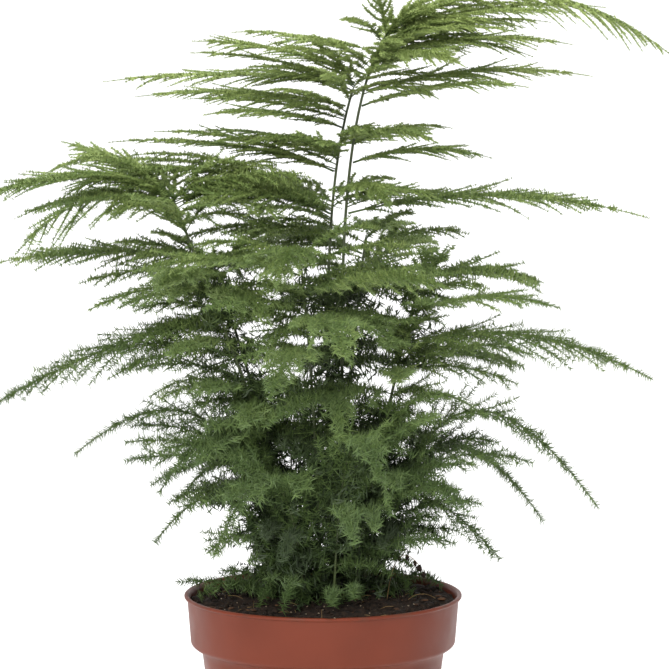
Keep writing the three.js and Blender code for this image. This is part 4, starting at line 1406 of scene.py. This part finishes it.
# %% The body of the mix
MIX_SIDES = 150
MIX_RINGS = 52
INNER_RING = 1.3
LEVEL_TOP = 125.0
BURIED_OUTLINE = [[0, 5.2], [50.4, 5.2], [63.4, 100.5], [69.3, 105.5], [71.0, 122]]
PEAT_SKIN, BARK_SKIN, GRIT_SKIN, THREAD_SKIN = range(4)
radii = np.linspace(MIX_EDGE, INNER_RING, MIX_RINGS)
top_outline = np.stack([radii, np.full(MIX_RINGS, LEVEL_TOP)], axis=1)
whole = np.concatenate([BURIED_OUTLINE, top_outline, [[0, LEVEL_TOP]]])
mix_points, mix_triangles = spin(whole, MIX_SIDES)
top = mix_points[:, 2] > LEVEL_TOP - 1
mix_points[top, 2] = mix_height(mix_points[top, 0], mix_points[top, 1])
shells = Shells()
shells.add(mix_points, mix_triangles, PEAT_SKIN)
print("mix from", mix_points[:, 2].min(), "to", mix_points[:, 2].max(), "mm")

# %% A ball of twenty triangles
LONGEST_EDGE = 1.1


def icosahedron():
    """Twelve corners, each 1 from the middle, and the faces between neighbours."""
    golden = (1 + math.sqrt(5)) / 2
    corners = []
    for a in (-1, 1):
        for b in (-golden, golden):
            corners += [(0, a, b), (a, b, 0), (b, 0, a)]
    corners = unit(np.array(corners, float))
    faces = []
    for i, j, k in combinations(range(len(corners)), 3):
        edges = [corners[j] - corners[i], corners[k] - corners[i], corners[k] - corners[j]]
        if max(np.linalg.norm(edge) for edge in edges) < LONGEST_EDGE:
            outward = np.cross(edges[0], edges[1]) @ corners[i]
            faces.append((i, j, k) if outward > 0 else (i, k, j))
    return corners, faces


BALL_CORNERS, BALL_FACES = icosahedron()
print("ball:", len(BALL_CORNERS), "corners and", len(BALL_FACES), "faces")

# %% Crumbs and grit as small uneven solids
LUMP_LENGTHS = (0.7, 1.5)
LUMP_WIDTHS = (0.6, 1.1)
LUMP_HEIGHTS = (0.5, 1.0)
DENT = 0.28


def scattered(count, edge):
    """Places spread evenly over the mix, out to an edge."""
    radius = edge * np.sqrt(chance.uniform(0, 1, count))
    turn = chance.uniform(0, 2 * math.pi, count)
    x = radius * np.cos(turn)
    y = radius * np.sin(turn)
    return np.stack([x, y, mix_height(x, y)], axis=1)


def add_lumps(shells, places, sizes, finish, heights=LUMP_HEIGHTS):
    """A ball at each place, stretched, dented and turned by chance."""
    count = len(places)
    length = chance.uniform(*LUMP_LENGTHS, count)
    width = chance.uniform(*LUMP_WIDTHS, count)
    height = chance.uniform(*heights, count)
    dents = 1 + chance.uniform(-DENT, DENT, (count, len(BALL_CORNERS), 1))
    shape = BALL_CORNERS[None] * dents * np.stack([length, width, height], axis=1)[:, None]
    turn = chance.uniform(0, math.pi, count)
    cosine = np.cos(turn)[:, None]
    sine = np.sin(turn)[:, None]
    x = shape[..., 0] * cosine - shape[..., 1] * sine
    y = shape[..., 0] * sine + shape[..., 1] * cosine
    corners = places[:, None] + np.stack([x, y, shape[..., 2]], axis=-1) * sizes[:, None, None]
    join(shells, corners, BALL_FACES, finish)


# %% Strew the mix
CRUMBS = 900
BARK_CHIPS = 70
GRAINS = 110
LOOSE_EDGE = 69
BARK_EDGE = 66
LARGEST_CRUMB = 2.1
CRUMB_SHARES = (0.35, 1.0)
CRUMB_LIFT = 0.2
CHIP_SIZES = (1.2, 2.6)
CHIP_LIFT = 0.5
CHIP_HEIGHTS = (0.2, 0.4)
GRAIN_SIZES = (0.25, 0.6)
GRAIN_LIFT = 0.4
crumbs = scattered(CRUMBS, LOOSE_EDGE)
sizes = chance.uniform(*CRUMB_SHARES, CRUMBS) ** 2 * LARGEST_CRUMB
add_lumps(shells, crumbs + UP * sizes[:, None] * CRUMB_LIFT, sizes, PEAT_SKIN)
chips = scattered(BARK_CHIPS, BARK_EDGE)
sizes = chance.uniform(*CHIP_SIZES, BARK_CHIPS)
add_lumps(shells, chips + UP * CHIP_LIFT, sizes, BARK_SKIN, CHIP_HEIGHTS)
grains = scattered(GRAINS, LOOSE_EDGE)
add_lumps(shells, grains + UP * GRAIN_LIFT, chance.uniform(*GRAIN_SIZES, GRAINS), GRIT_SKIN)
print("loose pieces:", CRUMBS + BARK_CHIPS + GRAINS)

# %% Dry threads
THREADS = 46
THREAD_EDGE = 64
THREAD_LENGTHS = (6, 17)
THREAD_RISES = (0.5, 5)
THREAD_END = 0.6
THREAD_SINK = 0.5
THREAD_RADIUS = 0.16
THREAD_POINTS = 9
THREAD_SIDES = 3


def add_thread(shells, line, points, radius):
    """A thin thread along a line."""
    places = line.at(np.linspace(0, 1, points))
    shells.add(*tube(places, np.full(points, radius), THREAD_SIDES), THREAD_SKIN)


for place in scattered(THREADS, THREAD_EDGE):
    way = level_way(chance.uniform(0, 2 * math.pi))
    length = chance.uniform(*THREAD_LENGTHS)
    rise = chance.uniform(*THREAD_RISES)
    middle = place + way * length * 0.5 + UP * rise
    end = place + way * length + UP * rise * THREAD_END
    line = Line([place - UP * THREAD_SINK, middle, end])
    add_thread(shells, line, THREAD_POINTS, THREAD_RADIUS)
print("threads:", THREADS)

# %% A dead twig, with dark scraps caught on it
TWIG_POINTS = 13
TWIG_RADIUS = 0.22
SCRAP_SHARES = [0.62, 0.72, 0.83, 0.9, 0.99]
SCRAP_SIZES = [1.1, 1.6, 1.3, 1.9, 1.5]
SCRAP_HEIGHTS = (0.8, 1.6)
SCRAP_DROP = 1.2
dead_twig = Line([(34, -12, 124), (38, -16, 170), (54, -20, 144)])
add_thread(shells, dead_twig, TWIG_POINTS, TWIG_RADIUS)
scraps = dead_twig.at(SCRAP_SHARES) - UP * SCRAP_DROP
add_lumps(shells, scraps, np.array(SCRAP_SIZES), PEAT_SKIN, SCRAP_HEIGHTS)
print("dead twig:", round(dead_twig.length), "mm long, with", len(scraps), "scraps")

# %% [markdown]
# Dull, grainy finishes
#
# Peat is nearly black and drinks up light, bark is brown, grit is pale, and dead threads
# are straw. Four separate recipes would repeat one another. One recipe takes two colours
# and a grain size, and its noise also raises the grain, so that colour and relief agree.


# %% Four finishes of one recipe
def plain_grain(name, dark, light, scale, roughness):
    """A dull finish that varies between two colours in grains of one size."""
    material, tree, shader = new_material(name)
    grain = noise(tree, scale, detail=6.0)
    tree.links.new(ramp(tree, grain, [(0.35, dark), (0.7, light)]), shader.inputs["Base Color"])
    fill_in(shader, {"Roughness": roughness, "Specular IOR Level": 0.25})
    bump(tree, shader, grain, strength=0.6, distance=0.0006)
    return material


PEAT = plain_grain("peat", colour(20, 15, 11), colour(46, 34, 25), scale=420.0, roughness=0.95)
BARK = plain_grain("bark_chip", colour(48, 32, 22), colour(92, 64, 42), scale=300.0, roughness=0.85)
GRIT = plain_grain("pale_grit", colour(120, 104, 84), colour(178, 164, 142), scale=500.0, roughness=0.8)
THREAD = plain_grain("dry_thread", colour(92, 72, 44), colour(150, 124, 84), scale=200.0, roughness=0.8)
mix_piece = shells.build("peat_mix", [PEAT, BARK, GRIT, THREAD], smooth_finishes=(THREAD_SKIN,))
dress(mix_piece, "potting_mix", "potting_mix")
print("mix triangles:", len(mix_piece.data.polygons))

# %% [markdown]
# A sheet of white behind and below
#
# The portrait is taken before plain white. A floor and a wall would show a line where they
# meet, so one white sheet runs along the floor and bends up behind the pot, as in a
# studio. It glows a little, which keeps its far parts from falling grey.

# %% Floor and backdrop
STAGE_HALF = 3.0
BACK_DISTANCE = 2.2
BACK_HEIGHT = 3.0
BEND = 0.8
BEND_STEPS = 12
GLOW = 0.3
profile = [(-STAGE_HALF, 0.0), (BACK_DISTANCE - BEND, 0.0)]
for step in range(1, BEND_STEPS + 1):
    angle = math.radians(90 * step / BEND_STEPS)
    profile.append((BACK_DISTANCE - BEND + BEND * math.sin(angle), BEND - BEND * math.cos(angle)))
profile.append((BACK_DISTANCE, BACK_HEIGHT))
rows = [[(x, y, z) for y, z in profile] for x in (-STAGE_HALF, STAGE_HALF)]
count = len(profile)
faces = [(i, count + i, count + i + 1, i + 1) for i in range(count - 1)]
sweep = bpy.data.meshes.new("studio_sweep")
sweep.from_pydata(rows[0] + rows[1], [], faces)
sweep_piece = put_in_scene("studio_sweep", sweep)
sweep_material, tree, shader = new_material("studio_white")
fill_in(shader, {"Base Color": grey(0.9), "Roughness": 0.9})
fill_in(shader, {"Emission Color": grey(1.0), "Emission Strength": GLOW})
sweep.materials.append(sweep_material)
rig.stage(sweep_piece)
print("backdrop faces:", len(faces))

# %% [markdown]
# Soft light from all round
#
# The light comes from everywhere, a little more of it from above and from the front, and
# leaves hardly a shadow. One bare lamp would turn each needle's shadow to clutter. So a
# white world lights all sides, and two broad lamps add the rest.

# %% Light
WORLD_STRENGTH = 0.52
world = bpy.data.worlds.new("studio_world")
world.use_nodes = True
fill_in(world.node_tree.nodes["Background"], {"Color": grey(1.0), "Strength": WORLD_STRENGTH})
bpy.context.scene.world = world


def softbox(name, place, aim, size, power):
    """A round lamp at a place, turned to its aim, with its size in metres and power in watts."""
    light = bpy.data.lights.new(name, "AREA")
    light.shape = "DISK"
    light.size = size
    light.energy = power
    lamp = put_in_scene(name, light)
    lamp.location = place
    direction = np.array(aim) - np.array(place)
    lamp.rotation_euler = Vector(direction).to_track_quat("-Z", "Y").to_euler()


softbox("overhead", place=(0.1, -0.3, 1.6), aim=(0, 0, 0.3), size=1.4, power=22)
softbox("front", place=(-0.6, -1.7, 1.1), aim=(0, 0, 0.25), size=1.0, power=33)
print("lamps:", [light.name for light in bpy.data.lights])

# %% [markdown]
# The portrait camera
#
# The portrait is taken from a little above, with the foot of the pot out of view. Close
# up, a wide lens would swell the near fronds. So the camera stands a metre and a half
# away and its lens takes in only the width of the plant.

# %% Camera
CAMERA_DISTANCE = 1.5
CAMERA_DOWN = math.radians(5)
AIM_HEIGHT = 0.270
AIM_RIGHT = 0.0062
VIEW_WIDTH = 0.359
camera_data = bpy.data.cameras.new("portrait_camera")
camera_data.angle = 2 * math.atan(VIEW_WIDTH / 2 / CAMERA_DISTANCE)
camera = put_in_scene("portrait_camera", camera_data)
camera.location = (
    AIM_RIGHT,
    -CAMERA_DISTANCE * math.cos(CAMERA_DOWN),
    AIM_HEIGHT + CAMERA_DISTANCE * math.sin(CAMERA_DOWN),
)
camera.rotation_euler = (math.pi / 2 - CAMERA_DOWN, 0, 0)
bpy.context.scene.camera = camera
bpy.context.scene.view_settings.view_transform = "Standard"
print("lens angle:", round(math.degrees(camera_data.angle), 1), "degrees")

# %% [markdown]
# Two boxes to compare
#
# A dressed plant has to fill the same room as its solids. The two bounding boxes could be
# compared by eye, but numbers are plainer, so both are written down.

# %% Record the size
with open("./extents.json", "w") as handle:
    json.dump({"cad": [list(map(float, corner)) for corner in cad_box],
               "visual": [list(map(float, corner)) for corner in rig.bounds()]}, handle)
print(open("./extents.json").read())
